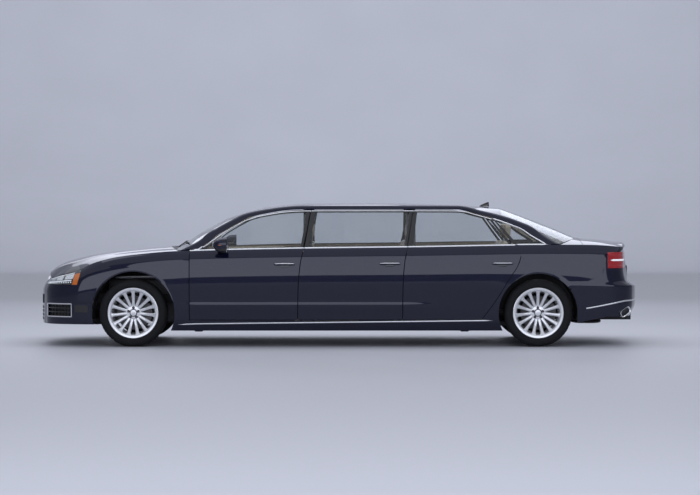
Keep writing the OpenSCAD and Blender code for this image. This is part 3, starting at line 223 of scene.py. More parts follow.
def finish(name, color, rough, metal=0.0, scale=40.0, vary=0.12, rough_vary=0.08, bump=0.05, grain="noise",
           bump_scale=None, depth=0.0004, **sockets):
    """Principled material whose colour, roughness and height follow fine procedural grain."""
    made = bpy.data.materials.new(name)
    made.use_nodes = True
    tree = made.node_tree
    shader = tree.nodes["Principled BSDF"]
    link = tree.links.new
    coords = tree.nodes.new("ShaderNodeTexCoord").outputs["Object"]
    cloud = node(tree, "ShaderNodeTexNoise", Scale=scale, Detail=6.0)
    link(coords, cloud.inputs["Vector"])
    ramp = tree.nodes.new("ShaderNodeValToRGB")
    for stop, share in zip(ramp.color_ramp.elements, (1 - vary, 1 + vary)):
        stop.color = [min(1, c * share) for c in color[:3]] + [1]
    ramp.color_ramp.elements[0].position, ramp.color_ramp.elements[1].position = 0.3, 0.7
    link(cloud.outputs["Fac"], ramp.inputs["Fac"])
    link(ramp.outputs["Color"], shader.inputs["Base Color"])
    spread = node(tree, "ShaderNodeMapRange", To_Min=max(0.0, rough - rough_vary),
                  To_Max=min(1.0, rough + rough_vary))
    link(cloud.outputs["Fac"], spread.inputs["Value"])
    link(spread.outputs["Result"], shader.inputs["Roughness"])
    kinds = {"noise": "ShaderNodeTexNoise", "cells": "ShaderNodeTexVoronoi", "wave": "ShaderNodeTexWave"}
    height = node(tree, kinds[grain], Scale=bump_scale or scale * 8)
    link(coords, height.inputs["Vector"])
    relief = node(tree, "ShaderNodeBump", Strength=bump, Distance=depth)
    link(height.outputs["Distance" if grain == "cells" else "Fac"], relief.inputs["Height"])
    link(relief.outputs["Normal"], shader.inputs["Normal"])
    shader.inputs["Metallic"].default_value = metal
    for key, value in sockets.items():
        shader.inputs[key.replace("_", " ")].default_value = value
    return made


def clear_glass(name, tint, wave=0.01):
    """Clear pane that lets light through to what lies behind it."""
    made = finish(name, tint, 0.01, scale=2.0, vary=0.03, rough_vary=0.008, bump=wave, bump_scale=3.0,
                  Transmission_Weight=1.0, IOR=1.45)
    tree = made.node_tree
    shader = tree.nodes["Principled BSDF"]
    out = tree.nodes["Material Output"]
    path = tree.nodes.new("ShaderNodeLightPath")
    through = node(tree, "ShaderNodeBsdfTransparent", Color=(*tint, 1))
    blend = tree.nodes.new("ShaderNodeMixShader")
    tree.links.new(path.outputs["Is Shadow Ray"], blend.inputs["Fac"])
    tree.links.new(shader.outputs["BSDF"], blend.inputs[1])
    tree.links.new(through.outputs["BSDF"], blend.inputs[2])
    tree.links.new(blend.outputs["Shader"], out.inputs["Surface"])
    return made


MAT = {
    "paint": finish("navy_paint", (0.0045, 0.006, 0.024), 0.32, 0.4, scale=1400, vary=0.4, rough_vary=0.1,
                    bump=0.012, bump_scale=240, depth=0.0002, Coat_Weight=1.0, Coat_Roughness=0.02,
                    Coat_IOR=1.5, Specular_IOR_Level=0.0),
    "black": finish("gloss_black", (0.006, 0.006, 0.007), 0.08, scale=60, bump=0.01, Coat_Weight=0.6),
    "chrome": finish("chrome_trim", (0.78, 0.79, 0.81), 0.09, 1.0, scale=30, vary=0.04, rough_vary=0.05,
                     bump=0.01),
    "silver": finish("silver_alloy", (0.80, 0.81, 0.83), 0.26, 0.7, scale=500, vary=0.08, bump=0.03,
                     Coat_Weight=0.5),
    "steel": finish("brushed_steel", (0.42, 0.42, 0.43), 0.34, 1.0, scale=25, vary=0.15, bump=0.12,
                    bump_scale=400),
    "iron": finish("cast_iron", (0.12, 0.12, 0.125), 0.55, 0.7, scale=40, vary=0.25, bump=0.3,
                   bump_scale=300),
    "rubber": finish("tyre_rubber", (0.009, 0.009, 0.010), 0.72, scale=50, vary=0.25, bump=0.15,
                     bump_scale=500, Specular_IOR_Level=0.25),
    "seal": finish("black_rubber", (0.01, 0.01, 0.01), 0.5, scale=80, bump=0.1),
    "under": finish("underbody", (0.018, 0.018, 0.02), 0.6, 0.1, scale=30, vary=0.3, bump=0.25,
                    bump_scale=200),
    "plastic": finish("dark_plastic", (0.02, 0.02, 0.021), 0.55, scale=60, vary=0.15, bump=0.25,
                      grain="cells", bump_scale=900),
    "carpet": finish("carpet", (0.10, 0.085, 0.07), 0.95, scale=300, vary=0.35, bump=0.9, bump_scale=1200,
                     depth=0.003),
    "cream": finish("cream_leather", (0.60, 0.50, 0.37), 0.45, scale=18, vary=0.08, bump=0.3, grain="cells",
                    bump_scale=420, Sheen_Weight=0.15),
    "trim": finish("trim_leather", (0.47, 0.39, 0.29), 0.5, scale=18, vary=0.08, bump=0.3, grain="cells",
                   bump_scale=420),
    "dark": finish("dark_leather", (0.02, 0.018, 0.016), 0.45, scale=20, vary=0.15, bump=0.3, grain="cells",
                   bump_scale=420),
    "wood": finish("walnut", (0.10, 0.045, 0.018), 0.2, scale=9, vary=0.5, bump=0.1, grain="wave",
                   bump_scale=14, Coat_Weight=0.8),
    "headliner": finish("headliner", (0.5, 0.45, 0.36), 0.9, scale=200, vary=0.06, bump=0.3,
                        bump_scale=900),
    "red": finish("red_lens", (0.42, 0.006, 0.01), 0.08, scale=40, vary=0.15, bump=0.1, grain="cells",
                  bump_scale=160, Coat_Weight=1.0),
    "amber": finish("amber_lens", (0.62, 0.15, 0.01), 0.12, scale=40, bump=0.1, grain="cells",
                    bump_scale=200, Coat_Weight=1.0),
    "lamp_dark": finish("lamp_bezel", (0.05, 0.05, 0.055), 0.25, 0.6, scale=60, bump=0.05),
    "led": finish("led_white", (0.9, 0.92, 0.95), 0.2, scale=80, vary=0.04, bump=0.2, grain="cells",
                  bump_scale=300, Emission_Color=(0.9, 0.94, 1, 1), Emission_Strength=0.35),
    "plate": finish("blank_plate", (0.62, 0.62, 0.6), 0.35, scale=60, vary=0.04, bump=0.05),
    "mirror": finish("mirror_face", (0.75, 0.76, 0.78), 0.02, 1.0, scale=5, vary=0.02, rough_vary=0.01,
                     bump=0.002),
    "glass": clear_glass("window_glass", (0.80, 0.83, 0.84)),
    "lens": clear_glass("lamp_lens", (0.93, 0.95, 0.96), 0.03),
}

# Looks: the material slot of a piece, then its skins
PAINT = ("paint", "paint")
PANEL = ("paint", "paint", "under")
LINED = ("paint", "paint", "headliner")
GLASS = ("glass", "glass")
EDGED_GLASS = ("glass", "glass", "glass", "black")
CHROME = ("chrome", "chrome")
GLOSS = ("black_trim", "black")
BLACK_PLASTIC = ("black_trim", "plastic")
SEAL = ("black_trim", "seal")
PLASTIC = ("dark_plastic", "plastic")
WOOD = ("dark_plastic", "wood")
BEZEL = ("dark_plastic", "lamp_dark")
LED = ("lamp_lens", "led")
RED = ("tail_lens", "red")
CREAM = ("leather", "cream")
DARK = ("dark_leather", "dark")
IRON = ("iron", "iron")
ALLOY = ("alloy", "silver")

# Directions, and [width, rise] of the bright strips
ALONG, ACROSS, UP = (1, 0, 0), (0, 1, 0), (0, 0, 1)
FRAME_OUT, BELT_OUT = (0, -0.86, 0.5), (0, -0.8, 0.6)
NOSE_OUT, TAIL_OUT = (-0.6, -0.8, 0), (0.5, -0.85, 0)
STRIP, FRAME_STRIP = (15, 4), (13, 3)


# Mesh building
BOW_FROM, BOW_HALF, NOSE_BOW, TAIL_BOW = 2600.0, 565.0, 73.0, 70.0
BEVEL_STEPS, RIBBON_TURNS, BAR_TURNS, BAR_STEPS, BAR_POWER = 2, 8, 16, 25, 0.6
MM = 1000


def bowed(points):
    """Points with nose and tail rounded in plan: the corners go back, the middle stays."""
    points = np.array(points, float)
    t = np.clip((np.abs(points[:, 0]) - BOW_FROM) / (HL - BOW_FROM), 0, 1)
    side = np.clip(np.abs(points[:, 1]) / BOW_HALF, 0, 1)
    back = np.where(points[:, 0] < 0, NOSE_BOW, TAIL_BOW) * t * t * (3 - 2 * t) * side ** 2
    points[:, 0] -= np.sign(points[:, 0]) * back
    return points


def piece(name, points, faces, look, body="shell", nodes=(), skin_of=None, round_mm=0.0, sharp=35.0,
          side=1):
    """One object from points in millimetres, riding on a body, with rounded edges and smooth shading."""
    slot, *skins = look
    points = bowed(np.asarray(points, float).reshape(-1, 3) * [1, side, 1]) / MM
    mesh = bpy.data.meshes.new(name)
    mesh.from_pydata([tuple(p) for p in points], [], [tuple(f) for f in faces])
    for skin in skins:
        mesh.materials.append(MAT[skin])
    if skin_of is not None:
        mesh.polygons.foreach_set("material_index", np.array(skin_of, np.int32))
    work = bmesh.new()
    work.from_mesh(mesh)
    bmesh.ops.remove_doubles(work, verts=work.verts, dist=1e-6)
    bmesh.ops.recalc_face_normals(work, faces=work.faces)
    work.to_mesh(mesh)
    work.free()
    mesh.shade_smooth()
    mesh.set_sharp_from_angle(angle=math.radians(sharp))
    made = bpy.data.objects.new(name, mesh)
    bpy.context.scene.collection.objects.link(made)
    if round_mm:
        bevel = made.modifiers.new("rounding", "BEVEL")
        bevel.width = round_mm / MM
        bevel.segments = BEVEL_STEPS
        bevel.limit_method = "ANGLE"
        bevel.angle_limit = math.radians(sharp)
        bevel.harden_normals = True
    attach(made, body)
    if nodes:
        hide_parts(*nodes)
    return made


def on_left(side, node_name):
    """The node that a left piece replaces for both sides."""
    return [node_name] if side > 0 else []


def grid_faces(nu, nv, base, kept):
    """Quads of one grid, with the cells that are kept."""
    return [(base + i * nv + j, base + (i + 1) * nv + j, base + (i + 1) * nv + j + 1, base + i * nv + j + 1)
            for i in range(nu - 1) for j in range(nv - 1) if kept[i, j]]


def sheet(name, outer, inner, look, body="shell", nodes=(), open_cells=None, marks=None, round_mm=2.5,
          side=1):
    """Closed panel between two grids: a second skin goes on the inner side, marked cells get the last one."""
    outer, inner = np.array(outer, float), np.array(inner, float)
    skins = look[1:]
    nu, nv = outer.shape[:2]
    kept = np.ones((nu - 1, nv - 1), bool) if open_cells is None else ~open_cells
    base = nu * nv
    outs = grid_faces(nu, nv, 0, kept)
    ins = grid_faces(nu, nv, base, kept)
    rims = []

    def at(i, j):
        return 0 <= i < nu - 1 and 0 <= j < nv - 1 and kept[i, j]
    for i in range(nu - 1):
        for j in range(nv - 1):
            if kept[i, j]:
                a, b, c, d = i * nv + j, i * nv + j + 1, (i + 1) * nv + j + 1, (i + 1) * nv + j
                edges = ((at(i, j - 1), a, d), (at(i, j + 1), c, b), (at(i - 1, j), b, a),
                         (at(i + 1, j), d, c))
                rims += [(p, q, base + q, base + p) for joined, p, q in edges if not joined]
    skin_of = [0] * len(outs) + [1 if len(skins) > 1 else 0] * len(ins) + [0] * len(rims)
    if marks is not None:
        flags = [bool(marks[i, j]) for i in range(nu - 1) for j in range(nv - 1) if kept[i, j]]
        for n, flag in enumerate(flags):
            if flag:
                skin_of[n] = skin_of[len(outs) + n] = len(skins) - 1
    points = np.concatenate([outer.reshape(-1, 3), inner.reshape(-1, 3)])
    return piece(name, points, outs + ins + rims, look, body, nodes, skin_of, round_mm, side=side)


def rings_mesh(rings, closed_ends=True):
    """Faces that join equal rings of points into one skin."""
    n, m = rings.shape[:2]
    faces = [(i * m + j, (i + 1) * m + j, (i + 1) * m + (j + 1) % m, i * m + (j + 1) % m)
             for i in range(n - 1) for j in range(m)]
    if closed_ends:
        faces += [tuple(range(m)), tuple(range((n - 1) * m, n * m))]
    return faces


def oval(turns, power):
    """Points of a rounded rectangle's outline, one unit to each side."""
    a = np.linspace(0, 2 * math.pi, turns, endpoint=False)
    return np.stack([np.sign(w) * np.abs(w) ** power for w in (np.cos(a), np.sin(a))], 1)


def frames_along(path, out):
    """Facing and upward directions along a path."""
    tangent = np.gradient(path, axis=0)
    tangent /= np.linalg.norm(tangent, axis=1, keepdims=True)
    out = out - tangent * np.sum(out * tangent, 1, keepdims=True)
    out /= np.linalg.norm(out, axis=1, keepdims=True)
    return out, np.cross(out, tangent)


def ribbon(name, path, out, size, look, body="shell", sunk=3.0, side=1, taper=0):
    """Crowned strip along a path, facing the given directions and sunk a little into what carries it."""
    width, rise = size
    path, out = np.array(path, float), np.broadcast_to(np.array(out, float), np.shape(path))
    face, up = frames_along(path, out)
    n = len(path)
    share = np.ones(n)
    if taper:
        share = np.clip(np.minimum(np.arange(n), np.arange(n)[::-1]) / taper, 0.15, 1)
    width = width * share
    ring = [path + up * (math.cos(a) * width / 2)[:, None] + face * math.sin(a) * rise
            for a in np.linspace(0, math.pi, RIBBON_TURNS)]
    ring = [ring[0] - face * sunk] + ring + [ring[-1] - face * sunk]
    points = np.stack(ring, 1)
    return piece(name, points, rings_mesh(points), look, body, sharp=60, side=side)


def rounded_bar(name, centre, along, out, size, look, body="shell", side=1, bend=0.0, nodes=()):
    """Bar with rounded ends and crowned section, size [length, height, depth], bowed outwards by bend."""
    length, height, depth = size
    ring = oval(BAR_TURNS, BAR_POWER)
    up = np.cross(out, along)
    rows = []
    for share in np.linspace(-1, 1, BAR_STEPS):
        g = np.sqrt(np.clip(1 - np.abs(share) ** 6, 0.02, 1))
        mid = np.array(centre) + np.array(along) * share * length / 2
        mid = mid + np.array(out) * bend * (1 - share ** 2)
        high, deep = np.outer(ring[:, 0] * g * height / 2, up), np.outer(ring[:, 1] * g * depth / 2, out)
        rows.append(mid + high + deep)
    points = np.stack(rows)
    return piece(name, points, rings_mesh(points), look, body, nodes, sharp=60, side=side)


def flank_normal(x, z):
    """Outward direction of the left flank."""
    e = 4.0
    dx = (left(x + e, z) - left(x - e, z)) / (2 * e)
    dz = (left(x, z + e) - left(x, z - e)) / (2 * e)
    n = np.cross(dx, dz)
    return n / np.linalg.norm(n, axis=-1, keepdims=True)


def lathe(profile, turns, wobble=None):
    """Points and faces of a closed outline of [radius, along] rows turned about the Y axis."""
    profile = np.array(profile, float)
    angle = np.linspace(0, 2 * math.pi, turns, endpoint=False)
    radius = np.broadcast_to(profile[:, 0], (turns, len(profile))).copy()
    if wobble is not None:
        radius += wobble(angle[:, None], profile[None, :, 0], profile[None, :, 1])
    points = np.stack([radius * np.cos(angle)[:, None], np.broadcast_to(profile[:, 1], radius.shape),
                       radius * np.sin(angle)[:, None]], -1)
    m = len(profile)
    faces = [(i * m + j, ((i + 1) % turns) * m + j, ((i + 1) % turns) * m + (j + 1) % m,
              i * m + (j + 1) % m)
             for i in range(turns) for j in range(m)]
    return points.reshape(-1, 3), faces


# Doors
DOOR_U = np.concatenate([np.linspace(0, 0.06, 4)[:-1], np.linspace(0.06, 0.94, 41),
                         np.linspace(0.94, 1, 4)[1:]])
DOOR_ROWS, SHOULDER_ROWS = 53, 9
WINDOW_U, WINDOW_V = (0.045, 0.965), (0.03, 0.94)
FRAME_U = dense([0, *WINDOW_U, 1], 8)
FRAME_V = dense([0, *WINDOW_V, 1], 5)
PANE_IN = 6.0


def door_x(k, u, z, framed=False):
    front = cab_x(FRAME_START) + 0 * np.asarray(z) if framed and k == 0 else line_x(k, z)
    return mix(front + SHUT_GAP / 2, line_x(k + 1, z) - SHUT_GAP / 2, u)


def door_lower(k, inset):
    """Grid of a door's panel below the belt, with a row on the shoulder line."""
    belt_x = door_x(k, DOOR_U, BELT_Z * 0.97)[:, None]
    top, low = waist(belt_x), SILL_TOP_Z + SHUT_GAP
    line = (CREASE_SHARE * top - low) / (top - low)
    v = np.concatenate([np.linspace(0, 1, DOOR_ROWS)[None, :] * line,
                        line + (1 - line) * np.linspace(0, 1, SHOULDER_ROWS)[None, 1:]], 1)
    z = low + v * (top - low)
    for _ in range(3):
        x = door_x(k, DOOR_U[:, None], z)
        z = low + v * (waist(x) - low)
    deep = np.where(v > 0.97, FRAME_T, WALL_T) * (inset > 0)
    back = np.where(DOOR_U[:, None] == 1, SHUT_BEVEL, 0) * (inset > 0)
    return left(x - back, z, deep)


def frame_top(x):
    return np.maximum(rail(x) - HEAD_GAP, waist(x) + 8)


def door_frame(k, inset):
    """Grid of a door's window frame."""
    u, v = np.meshgrid(FRAME_U, FRAME_V, indexing="ij")
    z = np.full(u.shape, BELT_Z + 100)
    for _ in range(8):
        x = door_x(k, u, z, True)
        z = mix(waist(x) + 0.4, frame_top(x), v)
    back = np.where(u == 1, SHUT_BEVEL, 0) * (inset > 0)
    return left(x - back, z, inset)


def cell_span(values, low, high):
    """Which cells between the values lie from low to high."""
    mid = (values[:-1] + values[1:]) / 2
    return (mid > low) & (mid < high)


window_cells = np.outer(cell_span(FRAME_U, *WINDOW_U), cell_span(FRAME_V, *WINDOW_V))
# Handles: [share of the door's way back, share of the height from sill to belt]
HANDLE_SPOTS = [[0.86, 0.83], [0.862, 0.81], [0.86, 0.8]]
HANDLE_LEN, HANDLE_H, HANDLE_OUT, HANDLE_BEND = 218.0, 26.0, 34.0, 4


def build_handle(side, body, k):
    """Bar on two feet over a black patch of painted shade where its cup lies, with a bright line along its
    top.
    """
    z = SILL_Z + HANDLE_SPOTS[k][1] * (waist(line_x(k, BELT_Z)) - SILL_Z)
    x = float(door_x(k, HANDLE_SPOTS[k][0], z))
    base = left(x, z)
    out = flank_normal(np.array(x), np.array(z))
    rounded_bar(body + "_handle", base + out * (HANDLE_OUT - 8), ALONG, out, [HANDLE_LEN, HANDLE_H, 15],
                PAINT, body, side, HANDLE_BEND)
    rounded_bar(body + "_handle_chrome", base + out * (HANDLE_OUT - 4) + [0, 0, 5], ALONG, out,
                [HANDLE_LEN - 8, 8, 12], CHROME, body, side, HANDLE_BEND)
    for end_name, end in (("front", -1), ("rear", 1)):
        foot = base + out * 11 + [end * (HANDLE_LEN / 2 - 18), 0, 0]
        rounded_bar(f"{body}_handle_foot_{end_name}", foot, ALONG, out, [32, HANDLE_H - 4, 32], PAINT, body,
                    side)
    # Flat black patch behind the handle: painted shade of the handle cup.
    rounded_bar(body + "_handle_shade_patch", base + out * 0.2 + [0, 0, -2], ALONG, out, [HANDLE_LEN * 0.5, 56, 3],
                GLOSS, body, side)


def build_door(side_name, side, k):
    """Panel, window frame, pane, bright strips over the window and along the belt, and handle."""
    body = f"{side_name}_door_{k + 1}"
    skins = ("paint", "paint", "trim")
    sheet(body + "_panel", door_lower(k, 0), door_lower(k, 1), skins, body, [body], side=side)
    sheet(body + "_frame", door_frame(k, 1.5), door_frame(k, FRAME_T), GLOSS, body, open_cells=window_cells,
          round_mm=2, side=side)
    iu = [i for i, u in enumerate(FRAME_U) if WINDOW_U[0] <= u <= WINDOW_U[1]]
    iv = [j for j, v in enumerate(FRAME_V) if WINDOW_V[0] <= v <= WINDOW_V[1]]
    pane = [door_frame(k, inset)[np.ix_(iu, iv)] for inset in (PANE_IN, PANE_IN + GLASS_T)]
    sheet(body + "_glass", *pane, GLASS, body, [f"{side_name}_window_{k + 1}"], round_mm=0, side=side)
    u = np.linspace(0, 1, 60)
    top = door_frame(k, 0)[:, -1]
    path = np.stack([np.interp(u, FRAME_U, top[:, c]) for c in range(3)], 1) + [0, 0, -7]
    ribbon(body + "_top_chrome", path, FRAME_OUT, FRAME_STRIP, CHROME, body, side=side)
    x = np.linspace(door_x(k, 0, BELT_Z), door_x(k, 1, BELT_Z), 60)
    ribbon(body + "_belt_chrome", left(x, waist(x) - 1), BELT_OUT, STRIP, CHROME, body, side=side)
    build_handle(side, body, k)


for side_name, side in SIDES.items():
    for k in range(3):
        build_door(side_name, side, k)


# Fixed side structure
SILL_LINE_X, SILL_LINE_Z = [-1670, -1441, 843, 1600], [232, 239, 265, 274]
PAD_X, PAD_Y, PAD_Z, PAD_SIZE = {"front": -1467.1, "rear": 1316.8}, 777.2, 158.9, [90, 60, 16.4]


def arch_x(axle, r, z, way):
    return axle + way * np.sqrt(np.maximum(0, r * r - (np.asarray(z) - AXLE_Z) ** 2))


def build_sill(side_name, side):
    """Sill between the wheel arches, with its bright strip and two jack pads."""
    z = np.linspace(SILL_Z, SILL_TOP_Z, 9)[None, :]
    u = np.linspace(0, 1, 81)[:, None]
    x = mix(arch_x(FRONT_X, FRONT_ARCH_R, z, 1), arch_x(REAR_X, REAR_ARCH_R, z, -1), u)
    sheet(side_name + "_sill", left(x, z), left(x, z, 2 * WALL_T), PANEL, nodes=on_left(side, "sills"),
          side=side)
    x = np.linspace(SILL_LINE_X[0], SILL_LINE_X[-1], 120)
    z = np.interp(x, SILL_LINE_X, SILL_LINE_Z)
    ribbon(side_name + "_sill_chrome", left(x, z), flank_normal(x, z), STRIP, CHROME, side=side, taper=3)
    for end, pad_x in PAD_X.items():
        rounded_bar(f"{side_name}_{end}_jack_pad", (pad_x, -PAD_Y, PAD_Z), ALONG, (0, 0, -1), PAD_SIZE,
                    ("dark_plastic", "seal"), side=side)


BAND = np.concatenate([np.linspace(0, 0.06, 4)[:-1], np.linspace(0.06, 1, 30)])
ARCH_LIP = 5


def arch_panel(name, axle, r, rows, side, nodes):
    """Panel from a wheel arch out to a list of [arch angle, x, z] rows, with a raised lip at the arch."""
    rows = np.array(rows, float)
    angle = np.radians(rows[:, 0])[:, None]
    x = mix(axle + r * np.cos(angle), rows[:, 1:2], BAND[None, :])
    z = mix(AXLE_Z + r * np.sin(angle), rows[:, 2:3], BAND[None, :])
    lip = ARCH_LIP * np.clip(1 - BAND / 0.05, 0, 1)[None, :]
    deep = np.where(BAND > 0.7, LIP_T, np.where(BAND < 0.02, SKIN_T / 2, SKIN_T))[None, :]
    sheet(name, left(x, z, -lip), left(x, z, deep), PANEL, nodes=nodes, side=side)


def spaced(rows, steps):
    """Rows with evenly spaced ones put between them."""
    rows = np.array(rows, float)
    parts = [np.linspace(a, b, steps, endpoint=False) for a, b in zip(rows[:-1], rows[1:])]
    return np.concatenate(parts + [rows[-1:]])


def build_quarter(side_name, side):
    """Panel round the rear arch: along the last door, the deck and the seam to bumper and lamp."""
    low = SILL_TOP_Z + SEAT_GAP
    low_a = 180 - math.degrees(math.asin((low - AXLE_Z) / REAR_ARCH_R))
    door = spaced([[low_a, low], [165, 0.305 * ROOF_Z], [146, 0.4 * ROOF_Z], [128, 0.505 * ROOF_Z],
                   [112, 0.6 * ROOF_Z], [103, 0.65 * ROOF_Z], [99, float(waist(1880))]], 8)
    rows = [[a, line_x(3, z) + SHUT_GAP / 2, z] for a, z in door]
    start = rows[-1][1]
    deck = spaced([[99, start], [88, 0.648 * HL], [74, 0.73 * HL], [60, 0.82 * HL], [49, LAMP_X * HL]],
                  8)[1:]
    rows += [[a, x, float(waist(x))] for a, x in deck]
    back = LAMP_X * HL
    last_a = math.degrees(math.asin((TAIL_SEAM[0][0] * BELT_Z - AXLE_Z) / REAR_ARCH_R))
    seam = [[49, back, float(waist(back))], [44, back, LAMP_TOP * BELT_Z]]
    seam += [[mix(last_a, 43, i / 4), HL * TAIL_SEAM[i][1], BELT_Z * TAIL_SEAM[i][0]] for i in (3, 2, 1, 0)]
    rows += spaced(seam, 7)[1:].tolist()
    arch_panel(side_name + "_quarter", REAR_X, REAR_ARCH_R, rows, side, on_left(side, "quarter_panels"))
    x = np.linspace(LAMP_X, TAIL_TIP, 12)[:, None] * HL
    z = mix(LAMP_TOP * BELT_Z, waist(x), np.linspace(0, 1, 7)[None, :])
    sheet(side_name + "_lamp_strip", left(x, z), left(x, z, LIP_T), PAINT, side=side, round_mm=1.5)


def build_wing(side_name, side):
    """Panel round the front arch: along the bumper, the lamp, the bonnet and the first door."""
    low = SILL_TOP_Z + SEAT_GAP
    low_a = math.degrees(math.asin((low - AXLE_Z) / FRONT_ARCH_R))
    seam, corner = NOSE_SEAM * HL, CORNER_SHARE * BELT_Z
    back = float(line_x(0, BELT_Z / 2)) - SHUT_GAP / 2
    front = [[180 - math.degrees(math.asin((corner - AXLE_Z) / FRONT_ARCH_R)), seam, corner],
             [157, seam, (CORNER_SHARE + LAMP_BASE) / 2 * BELT_Z], [149, seam, LAMP_BASE * BELT_Z],
             [139, WING_TOP * HL, float(waist(WING_TOP * HL))]]
    rows = spaced(front, 7).tolist()
    top = spaced([[139, WING_TOP], [127, -0.818], [114, -0.772], [101, -0.73], [86, -0.66], [70, -0.6],
                  [55, -0.54], [42, back / HL]], 8)[1:]
    rows += [[a, s * HL, float(waist(s * HL))] for a, s in top]
    rows += spaced([[42, back, float(waist(back))], [27, back, 0.68 * BELT_Z], [9, back, 0.46 * BELT_Z],
                    [low_a, back, low]], 9)[1:].tolist()
    arch_panel(side_name + "_wing", FRONT_X, FRONT_ARCH_R, rows, side, on_left(side, "wings"))


def build_rail(side_name, side):
    """Roof-side rail from the foot of the windscreen to the deck, slightly bulged."""
    k = np.linspace(0, CANT_LAST, 141)
    lower, upper = left(*cant_point(k, 0)), left(*cant_point(k, 1))
    v = np.linspace(0, 1, 6)
    bulge = (7 * np.sin(math.pi * v))[None, :, None] * np.array([0, -0.7, 0.7])
    outer = mix(lower[:, None], upper[:, None], v[None, :, None]) + bulge
    drop = np.where((k < 0.5) | (k > CANT_LAST - 0.5), PANE_DROP, FRAME_T)[:, None]
    inner_low, inner_up = lower + [0, CANT_W, 0], upper - drop * np.array([0, 0, 1.0])
    inner = mix(inner_low[:, None], inner_up[:, None], v[None, :, None])
    sheet(side_name + "_roof_rail", outer, inner, LINED, nodes=on_left(side, "cant_rails"), side=side,
          round_mm=1.5)


# Top panels
CROSS = np.linspace(-1, 1, 49)
RIDGE_AT, RIDGE_WIDE, RIDGE_UP = 0.6, 0.06, 6


def crown_row(edge, mid_x, mid_z, power):
    s = CROSS
    return np.stack([mix(mid_x, edge[0], s * s), -edge[1] * s, mix(mid_z, edge[2], np.abs(s) ** power)], -1)


def over_rail(first, mids, steps):
    """Crowned rows between the two roof-side rails, along a middle line."""
    k = np.arange(len(mids))
    fine = np.linspace(0, len(mids) - 1, (len(mids) - 1) * steps + 1)
    mid_x, mid_z = (smooth(np.stack([k, np.array(mids)[:, c]], 1))(fine) for c in (0, 1))
    edge = left(*cant_point(first + fine, 1)) + [0, SEAT_GAP, 0]
    return np.stack([crown_row(e, HL * x, ROOF_Z * z, CROWN_POWER) for e, x, z in zip(edge, mid_x, mid_z)])


def edge_marks(nu, nv, rows_in, cols_in):
    marks = np.zeros((nu - 1, nv - 1), bool)
    marks[:rows_in] = marks[-rows_in:] = True
    marks[:, :cols_in] = marks[:, -cols_in:] = True
    return marks


def lid_edge(x, draw):
    """Edge point of a lid beside the top line of the flank."""
    return [x, draw * LID_IN - float(side_y(x, waist(x))), float(waist(x))]


def build_roof():
    """Roof, windscreen and rear window; returns the rows of both panes."""
    roof = over_rail(ROOF_FIRST, ROOF_MID, 8)
    sheet("roof_panel", roof, roof - [0, 0, FRAME_T], LINED, nodes=["roof"], round_mm=1.5)
    screen = over_rail(0, SCREEN_MID, 8)
    sheet("windscreen", screen, screen - [0, 0, PANE_DROP], EDGED_GLASS, nodes=["fixed_glass"],
          marks=edge_marks(*screen.shape[:2], 2, 1), round_mm=0)
    rear = over_rail(REAR_FIRST, REAR_MID, 10)
    sheet("rear_window", rear, rear - [0, 0, PANE_DROP], EDGED_GLASS,
          marks=edge_marks(*rear.shape[:2], 1, 1), round_mm=0)
    return screen, rear


def build_bonnet(screen):
    """Bonnet with two ridges, fillers between its brow and the bumper, and the cowl behind it."""
    columns = np.array(BONNET)
    fine = np.linspace(0, len(BONNET) - 1, 71)
    stations = np.arange(len(BONNET))
    x, z, sweep, draw = (smooth(np.stack([stations, columns[:, c]], 1))(fine) for c in range(4))
    bonnet = np.stack([crown_row(lid_edge(HL * a + c * BONNET_SWEEP, d), HL * a, BELT_Z * b, BONNET_POWER)
                       for a, b, c, d in zip(x, z, sweep, draw)])
    fade = np.clip(np.minimum(fine / 1.5, 1), 0, 1)[:, None]
    ridge = np.exp(-((np.abs(CROSS) - RIDGE_AT) / RIDGE_WIDE) ** 2)[None, :]
    bonnet[:, :, 2] += RIDGE_UP * fade * ridge
    sheet("bonnet_panel", bonnet, bonnet - [0, 0, FRAME_T], PANEL, "bonnet", ["bonnet"])
    brow = bonnet[0][np.argsort(bonnet[0][:, 1])]
    for side_name, side in SIDES.items():
        y = -np.linspace(GRILLE_HALF - 14, BOW_HALF, 13)[:, None]
        top = np.stack([np.interp(y, brow[:, 1], brow[:, c]) for c in (0, 2)], -1) + [2,
                                                                                      -FRAME_T - SHUT_GAP]
        share = np.linspace(0, 1, 9)[None, :]
        foot = 3 - HL * float(nose_reach(LAMP_BASE))
        x, z = mix(foot, top[..., 0], share ** 1.4), mix(LAMP_BASE * BELT_Z - 2, top[..., 1], share)
        face = np.stack([x, y + 0 * x, z], -1)
        sheet(side_name + "_nose_filler", face, face + [12, 0, 0], PAINT, side=side, round_mm=1.5)
    cowl = np.stack([mix(screen[0], bonnet[-1], s) for s in np.linspace(0.04, 0.86, 6)]) - [0, 0, 9]
    sheet("cowl_panel", cowl, cowl - [0, 0, 10], BLACK_PLASTIC, round_mm=0)


